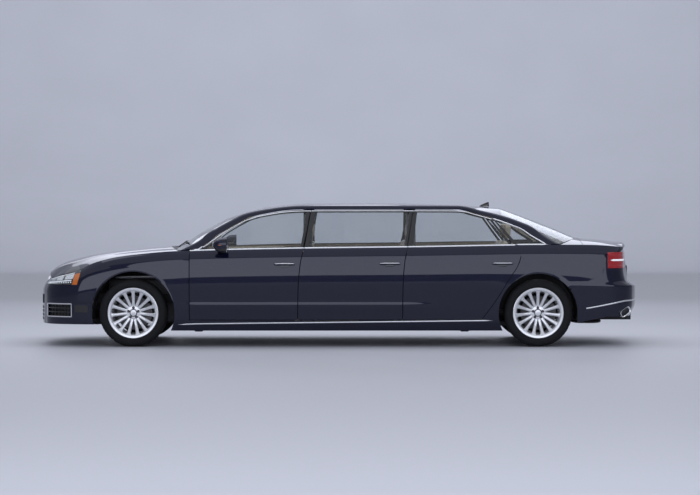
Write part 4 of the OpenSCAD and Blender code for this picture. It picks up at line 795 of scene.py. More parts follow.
def build_boot(rear):
    """Deck under the rear window, and the boot lid with its rear face."""
    lid_start = HL * BOOT_TOP[0][0] - SHUT_GAP
    lid_mid = [lid_start, 0, BELT_Z * BOOT_TOP[0][1]]
    deck = []
    for s in np.linspace(0.015, 1, 10):
        edge_x = mix(rear[-1][0, 0], lid_start, s)
        mid = mix(rear[-1][len(CROSS) // 2], lid_mid, s)
        deck.append(crown_row(left(edge_x, waist(edge_x), 1), mid[0], mid[2], CROWN_POWER))
    deck = np.stack(deck)
    sheet("rear_deck", deck, deck - [0, 0, LIP_T], PANEL, round_mm=1.5)
    lid = [(lid_edge(HL * a, d), HL * a, BELT_Z * b, (0, -FRAME_T)) for a, b, d in BOOT_TOP]
    lid += [([HL * (a - inset), -HW * w, BELT_Z * (b - low)], HL * a, BELT_Z * b, (-FRAME_T, 0))
            for a, b, w, low, inset in BOOT_FACE]
    rows = np.stack([crown_row(e, x, z, CROWN_POWER) for e, x, z, _ in lid])
    pushes = np.array([[p[0], 0, p[1]] for *_, p in lid], float)
    fine = np.linspace(0, len(lid) - 1, 73)
    index = np.arange(len(lid))
    outer = np.stack([[smooth(np.stack([index, rows[:, j, c]], 1))(fine) for c in range(3)]
                      for j in range(len(CROSS))], 1)
    outer = outer.transpose(2, 1, 0)
    push = np.stack([np.interp(fine, index, pushes[:, c]) for c in range(3)], 1)
    sheet("boot_lid_panel", outer, outer + push[:, None, :], PANEL, "boot_lid", ["boot_lid"])


# Bumpers
def wrap_share(x):
    """How far a point lies round the corner to nose or tail, from 0 to 1."""
    return np.clip((np.abs(x) / HL - WRAP_START) / WRAP_BLEND, 0, 1)


def wrapped(x, z, deep):
    """Points on the left flank moved inwards, and round the corners also towards the middle of the car."""
    return left(x, z) + np.stack([-np.sign(x) * wrap_share(x) * deep, deep + 0 * x, 0 * x], -1)


def wrap_in(x, t, first, cut):
    """Push of bumper points inwards: not along X in the first column, not along Y at a cut edge."""
    w = wrap_share(x) * ~first
    return np.stack([-np.sign(x) * w * t, np.where(cut, 0, t) + 0 * x, 0 * x], -1)


def build_front_bumper():
    """Bumper wrapped round the nose, open at the grille and at both corner intakes."""
    cols, rows = dense([-NOSE_SEAM] + NOSE_COLS, 7), dense(NOSE_ROWS, 5)
    arch = arch_x(FRONT_X, FRONT_ARCH_R, rows * BELT_Z, -1)
    first = np.where(rows < CORNER_SHARE - 0.002, arch, NOSE_SEAM * HL)[None, :]
    share = cols[:, None]
    begin = -HL * NOSE_COLS[0] * nose_reach(rows)[None, :]
    near = np.clip((share + NOSE_SEAM) / (NOSE_COLS[0] + NOSE_SEAM), 0, 1)
    x = np.where(share < NOSE_COLS[0], mix(first, begin, near), -HL * share * nose_reach(rows)[None, :])
    z = (rows * BELT_Z)[None, :] + 0 * x
    seam, cut = (share == cols[0]) & (x == x), np.zeros_like(x, bool)
    halves = []
    for grid in (left(x, z) + wrap_in(x, t, seam, cut) for t in (0, SKIN_T)):
        tip = grid[-1]
        across = [mix(tip[:, 1], -GRILLE_HALF, s) for s in np.linspace(0, 1, 9)[1:]]
        across += [0 * tip[:, 1] - y for y in np.linspace(GRILLE_HALF, 20, MID_STEPS + 1)[1:]]
        front = np.stack([np.stack([tip[:, 0], y, tip[:, 2]], -1) for y in across])
        halves.append(np.concatenate([grid, front]))
    rings = [np.concatenate([h, (h * [1, -1, 1])[::-1]]) for h in halves]
    n = len(halves[0])
    total = len(rings[0])
    open_cells = np.zeros((total - 1, len(rows) - 1), bool)
    open_cells[n - 1 - MID_STEPS:n + MID_STEPS, cell_span(rows, CORNER_SHARE, 1)] = True
    inlet = np.zeros(total - 1, bool)
    inlet[:len(cols) - 1] = cell_span(cols, NOSE_COLS[0], NOSE_COLS[3])
    inlet |= inlet[::-1]
    open_cells |= np.outer(inlet, cell_span(rows, NOSE_ROWS[1], NOSE_ROWS[2]))
    sheet("front_bumper_shell", *rings, PANEL, nodes=["front_bumper"], open_cells=open_cells)


TAIL_DIP = 62


def build_rear_bumper():
    """Bumper wrapped round the tail, open under the boot lid and dipped behind the arches."""
    cols, rows = dense([0.82] + TAIL_COLS, 7), dense(TAIL_ROWS, 4)
    seam = np.interp(rows, [s[0] for s in TAIL_SEAM], [s[1] for s in TAIL_SEAM]) * HL
    first = np.where(rows < TAIL_SEAM[0][0], arch_x(REAR_X, REAR_ARCH_R, rows * BELT_Z, 1), seam)[None, :]
    share = cols[:, None]
    begin = HL * TAIL_COLS[0] * tail_reach(rows)[None, :]
    near = np.clip((share - cols[0]) / (TAIL_COLS[0] - cols[0]), 0, 1)
    x = np.where(share < TAIL_COLS[0], mix(first, begin, near), HL * share * tail_reach(rows)[None, :])
    dip = np.where(share < TAIL_COLS[0], (1 - near) * TAIL_DIP, 0)
    dip = dip * np.clip((TAIL_ROWS[1] - rows) / 0.1, 0, 1)[None, :]
    z = (rows * BELT_Z)[None, :] + 0 * x - dip
    first, last = (share == cols[0]) & (x == x), (share == cols[-1]) & (x == x)
    halves = []
    for grid in (left(x, z) + wrap_in(x, t, first, last) for t in (0, SKIN_T)):
        across = np.linspace(1, 0.03, MID_STEPS + 1)[1:]
        halves.append(np.concatenate([grid, np.stack([grid[-1] * [1, s, 1] for s in across])]))
    rings = [np.concatenate([h, (h * [1, -1, 1])[::-1]]) for h in halves]
    n = len(halves[0])
    open_cells = np.zeros((len(rings[0]) - 1, len(rows) - 1), bool)
    open_cells[n - 1 - MID_STEPS:n + MID_STEPS, cell_span(rows, TAIL_ROWS[4], 1)] = True
    sheet("rear_bumper_shell", *rings, PANEL, nodes=["rear_bumper"], open_cells=open_cells)


for side_name, side in SIDES.items():
    build_sill(side_name, side)
    build_quarter(side_name, side)
    build_wing(side_name, side)
    build_rail(side_name, side)
screen_rows, rear_rows = build_roof()
build_bonnet(screen_rows)
build_boot(rear_rows)
build_front_bumper()
build_rear_bumper()

# Mirrors, side windows, aerial and bright trim
MIRROR_X, MIRROR_LEN, MIRROR_H, MIRROR_HALF, MIRROR_AWAY = -1302.6, 140.0, 165.0, 86.0, 112
MIRROR_POWER, MIRROR_LAMP_STEPS = 2.6, 14


def build_mirror(side_name, side):
    """Mirror head, dark below and with its glass to the rear, on a foot, with an amber lamp."""
    body = side_name + "_door_1"
    mid_z = float(waist(MIRROR_X)) - MIRROR_H / 5 + MIRROR_H / 2
    near = float(side_y(MIRROR_X + MIRROR_LEN, mid_z - MIRROR_H / 2))
    mid_y, half_z = -(near + MIRROR_AWAY), MIRROR_H / 2
    ring = oval(40, 0.72)
    flatter = np.where(ring[:, 1] > 0, 1, 0.94)
    rows = [[t, (1 - (1 - t) ** MIRROR_POWER) ** 0.5] for t in np.linspace(0.01, 1, 20)]
    rows += [[0.995, 0.93], [0.95, 0.91]]
    rings = np.stack([np.stack([MIRROR_X + MIRROR_LEN * t + 0 * ring[:, 0],
                                mid_y + MIRROR_HALF * g * ring[:, 0] - 8 * (1 - g),
                                mid_z + half_z * g * ring[:, 1] * flatter], 1) for t, g in rows])
    faces = rings_mesh(rings)
    high = rings.reshape(-1, 3)[:, 2]
    skin_of = [1 if np.mean(high[list(f)]) < mid_z - 0.45 * half_z else 0 for f in faces]
    skin_of[-1] = 2
    piece(body + "_mirror", rings, faces, ("paint", "paint", "black", "mirror"), body, skin_of=skin_of,
          sharp=50, side=side)
    foot = (MIRROR_X + 0.55 * MIRROR_LEN, -(near + 22), mid_z - 0.72 * half_z)
    rounded_bar(body + "_mirror_foot", foot, ACROSS, (-1, 0, 0), [110, 34, 78], GLOSS, body, side)
    t = np.linspace(0.06, 0.69, MIRROR_LAMP_STEPS)
    path = np.stack([np.linspace(MIRROR_X + 9, MIRROR_X + 96, MIRROR_LAMP_STEPS),
                     mid_y - MIRROR_HALF * (1 - (1 - t) ** MIRROR_POWER) ** 0.5 + 1,
                     np.full(MIRROR_LAMP_STEPS, mid_z + 2)], 1)
    ribbon(body + "_mirror_lamp", path, (-0.3, -1, 0), (9, 2), ("lamp_lens", "amber"), body, side=side,
           taper=3)


back_k = np.linspace(CANT_LAST - 6, CANT_LAST, 121)
back_rail_x, back_rail_z = cant_point(back_k, 0)
QUARTER_STEPS, QUARTER_TOP, QUARTER_IN, CORNER_X = 15, 0.885, 8, -1496


def rail_back(z):
    """Place of the roof rail's lower edge behind the last door, at a height."""
    return np.interp(z, back_rail_z[::-1], back_rail_x[::-1])


def build_side_trim(side_name, side):
    """Fixed rear side window, black corner before the first window, and bright strips round both."""
    low = float(waist(line_x(3, BELT_Z))) + SEAT_GAP + SHUT_GAP
    z = mix(low, QUARTER_TOP * ROOF_Z, np.linspace(0, 0.97, QUARTER_STEPS))[None, :]
    x = mix(line_x(3, z) + SHUT_GAP, rail_back(z) - 1, np.linspace(0, 1, QUARTER_STEPS)[:, None])
    sheet(side_name + "_quarter_glass", left(x, z, QUARTER_IN), left(x, z, QUARTER_IN + GLASS_T),
          EDGED_GLASS, marks=edge_marks(QUARTER_STEPS, QUARTER_STEPS, 2, 1), round_mm=0, side=side)
    x = np.linspace(CORNER_X, cab_x(FRAME_START) - 2, 20)[:, None]
    z = mix(waist(x) + 1, np.maximum(rail(x) - 2, waist(x) + 3), np.linspace(0, 1, 7)[None, :])
    sheet(side_name + "_corner_black", left(x, z, 3), left(x, z, 12), GLOSS, round_mm=1, side=side)
    x = np.linspace(CORNER_X - 14, cab_x(FRAME_START) - 1, 24)
    z = np.maximum(rail(x) - 5, waist(x) + 4)
    ribbon(side_name + "_corner_chrome", left(x, z), FRAME_OUT, FRAME_STRIP, CHROME, side=side, taper=2)
    keep = (back_rail_x > line_x(3, back_rail_z) + 8) & (back_rail_z > waist(back_rail_x) + 10)
    x, z = back_rail_x[keep], back_rail_z[keep] - 6
    ribbon(side_name + "_quarter_chrome", left(x, z), FRAME_OUT, FRAME_STRIP, CHROME, side=side, taper=2)
    x = np.linspace(float(line_x(3, BELT_Z)) + 4, float(x[-1]) + 12, 24)
    ribbon(side_name + "_quarter_belt", left(x, waist(x) + 3), BELT_OUT, STRIP, CHROME, side=side, taper=2)


FIN_LEN, FIN_LEAN, FIN_HALF, FIN_H = 110, 92, 13, 49


def build_aerial():
    """Low fin on the roof, leaning back."""
    x0, z0 = HL * ROOF_MID[5][0], ROOF_Z * ROOF_MID[5][1]
    ring = oval(28, 0.9)
    rows = []
    for up in np.linspace(0, 1, 12):
        start, end = FIN_LEAN * up ** 1.5, FIN_LEN - 4 * up
        grow = (1 - up ** 2.2) * 0.85 + 0.15
        rows.append(np.stack([x0 + mix(start, end, (ring[:, 0] + 1) / 2), FIN_HALF * grow * ring[:, 1],
                              z0 - 3 + FIN_H * up + 0 * ring[:, 0]], 1))
    rings = np.stack(rows)
    piece("roof_fin", rings, rings_mesh(rings), GLOSS, sharp=60)


# Lamps: columns as shares of the half length, and [first, last] column of each reflector
LAMP_COLS, LAMP_RISE = [0.9, 0.93, 0.96, 0.985, 1], 0.1
TAIL_LAMP_COLS = [0.945, 0.965, 0.985, 1]
REFLECTORS, REFLECTOR_ROWS = ((0.72, 2.0), (2.25, 3.3), (3.5, 4.5)), (0.46, 0.86)
CELL_N, CELL_ROW = 12, 0.2


def between(stops, c):
    """Values at fractional places c along stacked stops."""
    i = np.clip(c.astype(int), 0, len(stops) - 2)
    return mix(np.take_along_axis(stops, i[None], 0)[0], np.take_along_axis(stops, i[None] + 1, 0)[0],
               c - i)


def head_grid(deep, cols, rows):
    """Points over a headlamp opening: columns 0 to 5 from the wing to the grille, rows 0 to 1 upwards."""
    c, v = np.meshgrid(np.asarray(cols, float), np.asarray(rows, float), indexing="ij")
    base, wing_x = LAMP_BASE * BELT_Z, WING_TOP * HL
    wing_z = float(waist(wing_x))
    low = base + 2
    edge_z = mix(low, wing_z - SHUT_GAP, v)
    stops = [mix(NOSE_SEAM * HL, wing_x, (edge_z - base) / (wing_z - base)) - 1]
    stops += [-HL * s * nose_reach(LAMP_BASE + v * LAMP_RISE) for s in LAMP_COLS]
    x = between(np.stack(stops), c)
    top = mix(wing_z - SHUT_GAP, waist(x) - SHUT_GAP, np.clip(c, 0, 1))
    return wrapped(x, mix(low, top, v), np.minimum(deep, mix(60.0, 14.0, v)))


def tail_grid(deep, cols, rows):
    """Points over a tail lamp opening: columns 0 to 4 from the flank to the lid, rows 0 to 1 upwards."""
    c, v = np.meshgrid(np.asarray(cols, float), np.asarray(rows, float), indexing="ij")
    z = mix(TAIL_ROWS[-1] * BELT_Z + 1, LAMP_TOP * BELT_Z - 1, v)
    stops = [LAMP_X * HL + 1 + 0 * z] + [HL * s * tail_reach(z / BELT_Z) for s in TAIL_LAMP_COLS]
    return wrapped(between(np.stack(stops), c), z, deep)


def build_headlamp(side_name, side):
    """Lens with an amber end over a bowl, three reflectors, two light strips and a row of cells."""
    name = side_name + "_headlamp"
    cols, rows = np.linspace(0, 5, 41), np.linspace(0, 1, 13)
    marks = np.zeros((40, 12), bool)
    marks[:5, :9] = True
    sheet(name + "_lens", *(head_grid(d, cols, rows) for d in (0, 4)),
          ("lamp_lens", "lens", "lens", "amber"),
          nodes=on_left(side, "headlamps"), marks=marks, round_mm=0, side=side)
    sheet(name + "_bowl", *(head_grid(d, cols, rows) for d in (40, 44)), BEZEL, round_mm=0, side=side)
    high = np.linspace(*REFLECTOR_ROWS, 9)
    for n, span in enumerate(REFLECTORS):
        sub = np.linspace(*span, 9)
        sheet(f"{name}_reflector_{n + 1}", *(head_grid(d, sub, high) for d in (10, 24)),
              ("chrome", "silver"), round_mm=3, side=side)
    sub = np.linspace(0.8, 4.8, 40)
    for strip, v, wide in (("daylight", 0.36, 9), ("brow", 0.93, 6)):
        ribbon(f"{name}_{strip}", head_grid(8, sub, [v])[:, 0], NOSE_OUT, (wide, 3), LED, side=side,
               taper=2)
    for n, c in enumerate(np.linspace(0.9, 4.6, CELL_N)):
        rounded_bar(f"{name}_cell_{n + 1}", head_grid(8, [c], [CELL_ROW])[0, 0], (0.6, -0.8, 0),
                    (-0.8, -0.6, 0), [17, 15, 10], LED, side=side)


def build_tail_lamp(side_name, side):
    """Red lens over a bowl, with a bright bar and two ribs."""
    cols, rows = np.linspace(0, 4, 33), np.linspace(0, 1, 11)
    sheet(side_name + "_tail_lens", *(tail_grid(d, cols, rows) for d in (0, 8)), RED,
          nodes=on_left(side, "tail_lamps"), round_mm=2, side=side)
    sheet(side_name + "_tail_bowl", *(tail_grid(d, cols, rows) for d in (32, 38)), BEZEL, round_mm=0,
          side=side)
    for name, first, v, wide, look in (("bar", 0.5, 0.5, 20, LED), ("rib_1", 0.25, 0.18, 12, RED),
                                       ("rib_2", 0.25, 0.82, 12, RED)):
        path = tail_grid(0, np.linspace(first, 3.9, 24), [v])[:, 0]
        ribbon(f"{side_name}_tail_{name}", path, TAIL_OUT, (wide, 2), look, side=side, taper=3)


# Grille and intakes
SLAT_N, SLAT_LEAN, GRILLE_FOOT, GRILLE_TOP = 7, math.radians(12.5), 461.0, 251.0
GRILLE_OUT = (-math.cos(SLAT_LEAN), 0, math.sin(SLAT_LEAN))
# Rim of the grille: [share of its half width, way up]
GRILLE_RIM = [[-1, 0], [-1, 190], [-0.86, 228], [-0.4, 246], [0.4, 246], [0.86, 228], [1, 190], [1, 0],
              [-1, 0]]


def grille_point(y, up, out=0.0):
    """Point on the leaning plane of the grille."""
    y, up = np.broadcast_arrays(np.asarray(y, float), np.asarray(up, float))
    x = 13 - HL + up * math.sin(SLAT_LEAN) - out * math.cos(SLAT_LEAN)
    return np.stack([x, y, GRILLE_FOOT + up * math.cos(SLAT_LEAN) + out * math.sin(SLAT_LEAN)], -1)


def build_grille():
    """Dark back, bright slats and rim, and black posts between them."""
    y, up = np.linspace(-1, 1, 33), np.linspace(0, 1, 9)
    half = GRILLE_HALF * 0.96
    back = [grille_point(half * y[:, None], GRILLE_TOP * 0.9 * up[None, :], -d) for d in (30, 36)]
    sheet("grille_back", *back, BLACK_PLASTIC, nodes=["grille"], round_mm=0)
    for i in range(1, SLAT_N + 1):
        high = i * GRILLE_TOP / (SLAT_N + 1)
        wide = half - 14 - 0.25 * max(0, high - 150)
        ribbon(f"grille_slat_{i}", grille_point(wide * y, high, -12), GRILLE_OUT, (13, 10), CHROME, sunk=12)
    rim = spaced([[half * share, high] for share, high in GRILLE_RIM], 9)
    ribbon("grille_rim", grille_point(rim[:, 0], rim[:, 1]), GRILLE_OUT, (26, 9), CHROME, sunk=24)
    for i, place in enumerate(np.linspace(-0.66, 0.66, 5)):
        path = grille_point(half * place + 0 * up, 232 * up, -22)
        ribbon(f"grille_post_{i + 1}", path, GRILLE_OUT, (8, 5), GLOSS, sunk=8)


SIDE_STRIP_X, SIDE_STRIP_Z, SIDE_STRIP_H = (-2772, -2618), 395, 74


def nose_point(share, high, deep):
    """Points on the nose at shares of the half length and of the belt height, moved inwards."""
    share, high = np.broadcast_arrays(np.asarray(share, float), np.asarray(high, float))
    return wrapped(-HL * share * nose_reach(high), high * BELT_Z, deep)


def build_intake(side_name, side):
    """Corner intake: dark back, bars, posts and a bright loop, and a flat black strip on the flank behind it.
    """
    a, b, low, high = NOSE_COLS[0], NOSE_COLS[3], NOSE_ROWS[1], NOSE_ROWS[2]
    cols, rows = np.linspace(a, b, 25), np.linspace(low, high, 9)
    grids = [nose_point(cols[:, None], rows[None, :], d) for d in (26, 36)]
    sheet(side_name + "_intake_back", *grids, BLACK_PLASTIC, round_mm=0, side=side)
    for n, v in enumerate((0.345, 0.385)):
        ribbon(f"{side_name}_intake_bar_{n + 1}", nose_point(cols, v, 10), NOSE_OUT, (12, 5), GLOSS,
               side=side, sunk=12)
    for n, c in enumerate(np.linspace(a, b, 8)[1:-1]):
        ribbon(f"{side_name}_intake_post_{n + 1}", nose_point(c, rows, 16), NOSE_OUT, (7, 4), GLOSS,
               side=side, sunk=8)
    loop = spaced([[a, low], [b, low], [b, high], [a, high], [a, low]], 14)
    ribbon(side_name + "_intake_chrome", nose_point(loop[:, 0], loop[:, 1], 0), NOSE_OUT, (13, 5), CHROME,
           side=side, sunk=6)
    # Flat black strip on the flank, a little behind the intake.
    x = np.linspace(*SIDE_STRIP_X, 24)
    z = SIDE_STRIP_Z + 0 * x
    ribbon(side_name + "_side_recess", left(x, z, 0.5), flank_normal(x, z), (SIDE_STRIP_H, 1), BLACK_PLASTIC,
           side=side)


# Seals, wheel houses and tail trim
SEAL_TOP, SEAL_IN = 985, 96
HOUSE_Y, HOUSE_UP = (-470, -464), 30
TAIL_LINE_X, TAIL_LINE_Z = [2578, 3052, HL], [399, 476, 482]
# Exhaust tip: its directions, half sizes, and rings of [way out, share of the size]
TIP_X, TIP_Z, TIP_TURNS, TIP_HALF = 3050, 360, 36, (74, 40)
TIP_OUT, TIP_ALONG, TIP_UP = np.array([[0.4, -0.915, 0.0], [0.79, 0.35, 0.5], [-0.46, -0.2, 0.865]])
TIP_RINGS = [[-70, 0.9], [12, 1], [20, 0.985], [23, 0.94], [21, 0.84], [14, 0.78], [13, 0.74]]


def build_seals(side_name, side):
    """Rubber strips behind the shut lines of the doors."""
    z = np.linspace(SILL_TOP_Z + 16, SEAL_TOP, 40)
    for k in range(4):
        path = left(line_x(k, z), z, SEAL_IN)
        ribbon(f"{side_name}_shut_seal_{k + 1}", path, (0, -1, 0), (34, 2), SEAL, side=side, sunk=6)


def build_wheel_house(side_name, side):
    """Inner wall of the rear wheel arch."""
    r, a = np.linspace(0.02, 1, 9)[None, :] * (REAR_ARCH_R + 3), np.linspace(0, math.pi, 41)[:, None]
    x = REAR_X + r * np.cos(a)
    z = AXLE_Z + HOUSE_UP + (r * np.sin(a)) * (REAR_ARCH_R - 27) / REAR_ARCH_R
    walls = [np.stack([x, y + 0 * x, z], -1) for y in HOUSE_Y]
    sheet(side_name + "_wheel_house", *walls, PLASTIC, round_mm=0, side=side)


def build_tail_trim(side_name, side):
    """Bright strip round the rear bumper, and the exhaust tip in its corner."""
    x = np.linspace(TAIL_LINE_X[0], HL * 0.997, 90)
    z = np.interp(x, TAIL_LINE_X, TAIL_LINE_Z)
    path, out = left(x, z), flank_normal(x, z)
    y = np.linspace(path[-1, 1], 1, 40)[1:]
    path = np.concatenate([path, np.stack([0 * y + HL, y, 0 * y + z[-1]], 1)])
    out = np.concatenate([out, np.broadcast_to([1.0, 0, 0], (len(y), 3))])
    ribbon(side_name + "_rear_chrome", path, out, STRIP, CHROME, side=side)
    ring = oval(TIP_TURNS, 0.65)
    rings = np.stack([left(TIP_X, TIP_Z) + a * TIP_OUT + np.outer(TIP_HALF[0] * g * ring[:, 0], TIP_ALONG)
                      + np.outer(TIP_HALF[1] * g * ring[:, 1], TIP_UP) for a, g in TIP_RINGS])
    faces = rings_mesh(rings)
    # The last inner band and the end cap of the tip are black: painted shade of the pipe's inside.
    skin_of = [0] * len(faces)
    skin_of[5 * TIP_TURNS:6 * TIP_TURNS] = [1] * TIP_TURNS
    skin_of[-1] = 1
    piece(side_name + "_exhaust_tip", rings, faces, ("chrome", "chrome", "black"), skin_of=skin_of,
          sharp=50, side=side)


WIPER_OUT, WIPER_SPANS = (-0.5, 0, 0.86), ((5, 24), (24, 43))
LID_BOW, LID_BOW_HALF, LID_STRIP_HALF = 0.008, 590, 560
# Number plate: [name, half width, half height, way out, skin]
PLATES = (("holder", 272, 64, 1, "plastic"), ("blank", 260, 56, 6, "plate"))
PLATE_Z, SLAT_HALF, SLAT_HEIGHTS = 0.735, 500, (275, 315, 355, 395)


def lid_face_x(share, y):
    """Place of the bowed rear face of the boot lid."""
    return HL * share - LID_BOW * HL * (y / LID_BOW_HALF) ** 2


def build_small_trim():
    """Wipers, bright strip and number plate on the boot lid, and slats of the lower intake."""
    for n, (a, b) in enumerate(WIPER_SPANS):
        path = screen_rows[4, a:b] + [0, 0, 9]
        ribbon(f"wiper_blade_{n + 1}", path, WIPER_OUT, (12, 9), SEAL, sunk=5, taper=2)
        arm = np.linspace(screen_rows[1, b - 1] + [0, 0, 12], screen_rows[4, (a + b) // 2] + [0, 0, 16], 16)
        ribbon(f"wiper_arm_{n + 1}", arm, WIPER_OUT, (14, 6), BLACK_PLASTIC, sunk=6)
    y = np.linspace(-LID_STRIP_HALF, LID_STRIP_HALF, 50)
    path = np.stack([lid_face_x(0.9655, y), y, 0 * y + 0.87 * BELT_Z], 1)
    ribbon("boot_lid_chrome", path, ALONG, STRIP, CHROME, "boot_lid", taper=3)
    for name, half_y, half_z, out, skin in PLATES:
        y = np.linspace(-half_y, half_y, 25)[:, None]
        z = np.linspace(-half_z, half_z, 9)[None, :] + PLATE_Z * BELT_Z
        face = np.stack([lid_face_x(0.9723, y) + out + 0 * z, y + 0 * z, z + 0 * y], -1)
        sheet("rear_plate_" + name, face, face - [8, 0, 0], ("dark_plastic", skin), "boot_lid", round_mm=2)
    y = np.linspace(-SLAT_HALF, SLAT_HALF, 60)
    for n, z in enumerate(SLAT_HEIGHTS):
        path = np.stack([0 * y - HL * float(nose_reach(z / BELT_Z)), y, 0 * y + z], 1)
        ribbon(f"lower_intake_slat_{n + 1}", path, (-1, 0, 0), (30, 4), BLACK_PLASTIC, taper=2)


for side_name, side in SIDES.items():
    build_mirror(side_name, side)
    build_side_trim(side_name, side)
    build_headlamp(side_name, side)
    build_tail_lamp(side_name, side)
    build_intake(side_name, side)
    build_tail_trim(side_name, side)
    build_wheel_house(side_name, side)
    build_seals(side_name, side)
build_aerial()
build_grille()
build_small_trim()

# Wheels and tyres, built with the axle along Y and the outer face towards +Y, then put at their corners
TYRE_R, TYRE_HALF, BEAD_R, BEAD_HALF, SPOKE_N, BOLT_N, BOLT_RING = 352.0, 127.5, 241.5, 105.5, 15, 5, 53
GROOVE_W, GROOVE_DEEP, SIPE_DEEP, SIPE_N, TYRE_TURNS, RIM_TURNS = 9.0, 7.0, 4.5, 60, 360, 96
GROOVES = (-66.0, -22.0, 22.0, 66.0)
# Outlines of turned parts: [radius, way along the axle]
RIM = [[207.5, -38], [233.5, -114], [252.5, -114], [252.5, -106], [241.5, -106], [241.5, -57], [215.5, -38],
       [215.5, 38], [241.5, 57], [241.5, 106], [252.5, 106], [263, 113.5], [263.5, 117], [259, 118.5],
       [240, 116], [228, 106], [207.5, 38]]
DISC = [[82, -22], [176, -22], [178, -20], [178, -11], [150, -11], [150, -3], [178, -3], [178, 6], [176, 8],
        [82, 8]]
HUB = [[40, -30], [75, -30], [75, 54], [70, 61], [62, 63], [40, 64]]
CAP = [[0.5, 60], [33, 60], [33, 67], [30, 70], [18, 71.5], [0.5, 72]]
TURNED = {"rim": [RIM, ALLOY], "disc": [DISC, IRON], "hub": [HUB, ALLOY], "cap": [CAP, ALLOY]}
# Bolts on dark discs that are painted shade of their holes: [name, radius, start, end, skin, turns]
BOLT_PARTS = (("recess", 15, 58, 64.6, "plastic", 28), ("bolt", 8.5, 60, 66, "iron", 6))
WHEELS = {"fl": [FRONT_X, 1], "fr": [FRONT_X, -1], "rl": [REAR_X, 1], "rr": [REAR_X, -1]}
# Tyre wall: [share of the way from bead to tread, share of the half width]
TYRE_WALL = smooth([[0, 0.84], [0.12, 0.885], [0.2, 0.91], [0.45, 1], [0.7, 0.985], [0.86, 0.9],
                    [0.95, 0.805], [0.985, 0.745], [1, 0.71]])


def tyre_profile():
    """Outline of a tyre with ridged walls and four grooves."""
    share = np.concatenate([np.linspace(0, 0.9, 15), np.linspace(0.93, 1, 6)])
    ridge = 2.0 * (np.abs(share - 0.1) < 0.04) + 1.2 * (np.abs(share - 0.62) < 0.05)
    outer = [[mix(BEAD_R + 1, TYRE_R, s), min(TYRE_HALF, TYRE_HALF * float(TYRE_WALL(s)) + r)]
             for s, r in zip(share, ridge)]
    outer[0][1] = BEAD_HALF
    half, floor = GROOVE_W / 2, TYRE_R - GROOVE_DEEP
    tread = []
    for g in GROOVES[::-1]:
        tread += [[TYRE_R, g + half + 14], [TYRE_R, g + half], [floor, g + half - 1.5],
                  [floor, g - half + 1.5], [TYRE_R, g - half], [TYRE_R, g - half - 14]]
    return outer + tread + [[r, -a] for r, a in outer[::-1]]


def sipes(angle, radius, along):
    """Cuts across the tread blocks, slanted towards the shoulders."""
    turn = (angle * SIPE_N / (2 * math.pi) + np.abs(along) * 0.012) % 1
    cut = (turn < 0.2) & (radius > TYRE_R - GROOVE_DEEP + 0.5) & (np.abs(along) > 28)
    return np.where(cut, -SIPE_DEEP, 0.0)


def spoke_mesh():
    """All spokes of a wheel: slim in the middle, flared into the rim."""
    radius = np.concatenate([np.linspace(60, 190, 9), np.linspace(200, 234, 8)])
    flare = 44 * np.clip((radius - 196) / 38, 0, 1) ** 2
    width = np.interp(radius, [60, 75, 145, 190], [36, 33, 32, 37]) + flare
    top = np.interp(radius, [60, 75, 145, 234], [60, 62, 77, 108])
    low = np.interp(radius, [60, 75, 145, 234], [38, 40, 46, 60])
    ring = oval(14, 0.62)
    rows = np.stack([np.stack([r + 0 * ring[:, 0], w / 2 * ring[:, 0], mix(b, t, (ring[:, 1] + 1) / 2)], 1)
                     for r, w, t, b in zip(radius, width, top, low)])
    flat = rows.reshape(-1, 3)
    points, faces = [], []
    for n in range(SPOKE_N):
        a = 2 * math.pi * n / SPOKE_N + math.pi / 2
        faces += [tuple(i + len(points) for i in f) for f in rings_mesh(rows)]
        points += np.stack([flat[:, 0] * math.cos(a) - flat[:, 1] * math.sin(a), flat[:, 2],
                            flat[:, 0] * math.sin(a) + flat[:, 1] * math.cos(a)], 1).tolist()
    return np.array(points), faces


def wheel_piece(name, mesh, corner, look, **more):
    """Piece of a wheel, turned to its side of the car and put at its corner."""
    points, faces = mesh
    x, side = WHEELS[corner]
    points = points * [1, -side, 1] + [x, -side * TRACK / 2, AXLE_Z]
    piece(name, points, faces, look, "wheel_" + corner, **more)


def build_wheel(corner):
    """Tyre, rim, brake disc, hub, cap, spokes and bolts of one wheel."""
    name = "wheel_" + corner
    wheel_piece(f"tyre_{corner}_tread", lathe(tyre_profile(), TYRE_TURNS, sipes), corner,
                ("tyre", "rubber"), nodes=["tyre_" + corner], sharp=40)
    for part, (outline, look) in TURNED.items():
        wheel_piece(f"{name}_{part}", lathe(outline, RIM_TURNS), corner, look,
                    nodes=[name] if part == "rim" else [], round_mm=1.2, sharp=25)
    wheel_piece(name + "_spokes", spoke_mesh(), corner, ALLOY, sharp=50)
    for n in range(BOLT_N):
        a = 2 * math.pi * (n + 0.25) / BOLT_N
        place = np.array([BOLT_RING * math.cos(a), 0, BOLT_RING * math.sin(a)])
        for part, r, low, high, skin, turns in BOLT_PARTS:
            points, faces = lathe([[0.2, low], [r, low], [r, high - 1], [r - 1, high], [0.2, high]], turns)
            wheel_piece(f"{name}_{part}_{n + 1}", (points + place, faces), corner, ("steel", skin))


for corner in WHEELS:
    build_wheel(corner)


# Cushions
SEAT_ROWS = {"front": -1009.9, "middle": 59.8, "rear": 1089.8}
SEAT_LEN, SEAT_W, SEAT_Y, BACK_LEAN, SEAT_TILT = 520.0, 520.0, 385.0, math.radians(10.8), math.radians(2)
UPRIGHT, REST_LEAN, CABIN_FLOOR_Z, BENCH_FLOOR_Z = math.radians(-90), 0.06, 206, 330
REAR_PLACES = {"left": [-262, 402], "right": [262, 402], "middle": [0, 116]}
REAR_REST_Y, PAD_FILL, ARM_FILL = 226.7, 0.85, 0.9


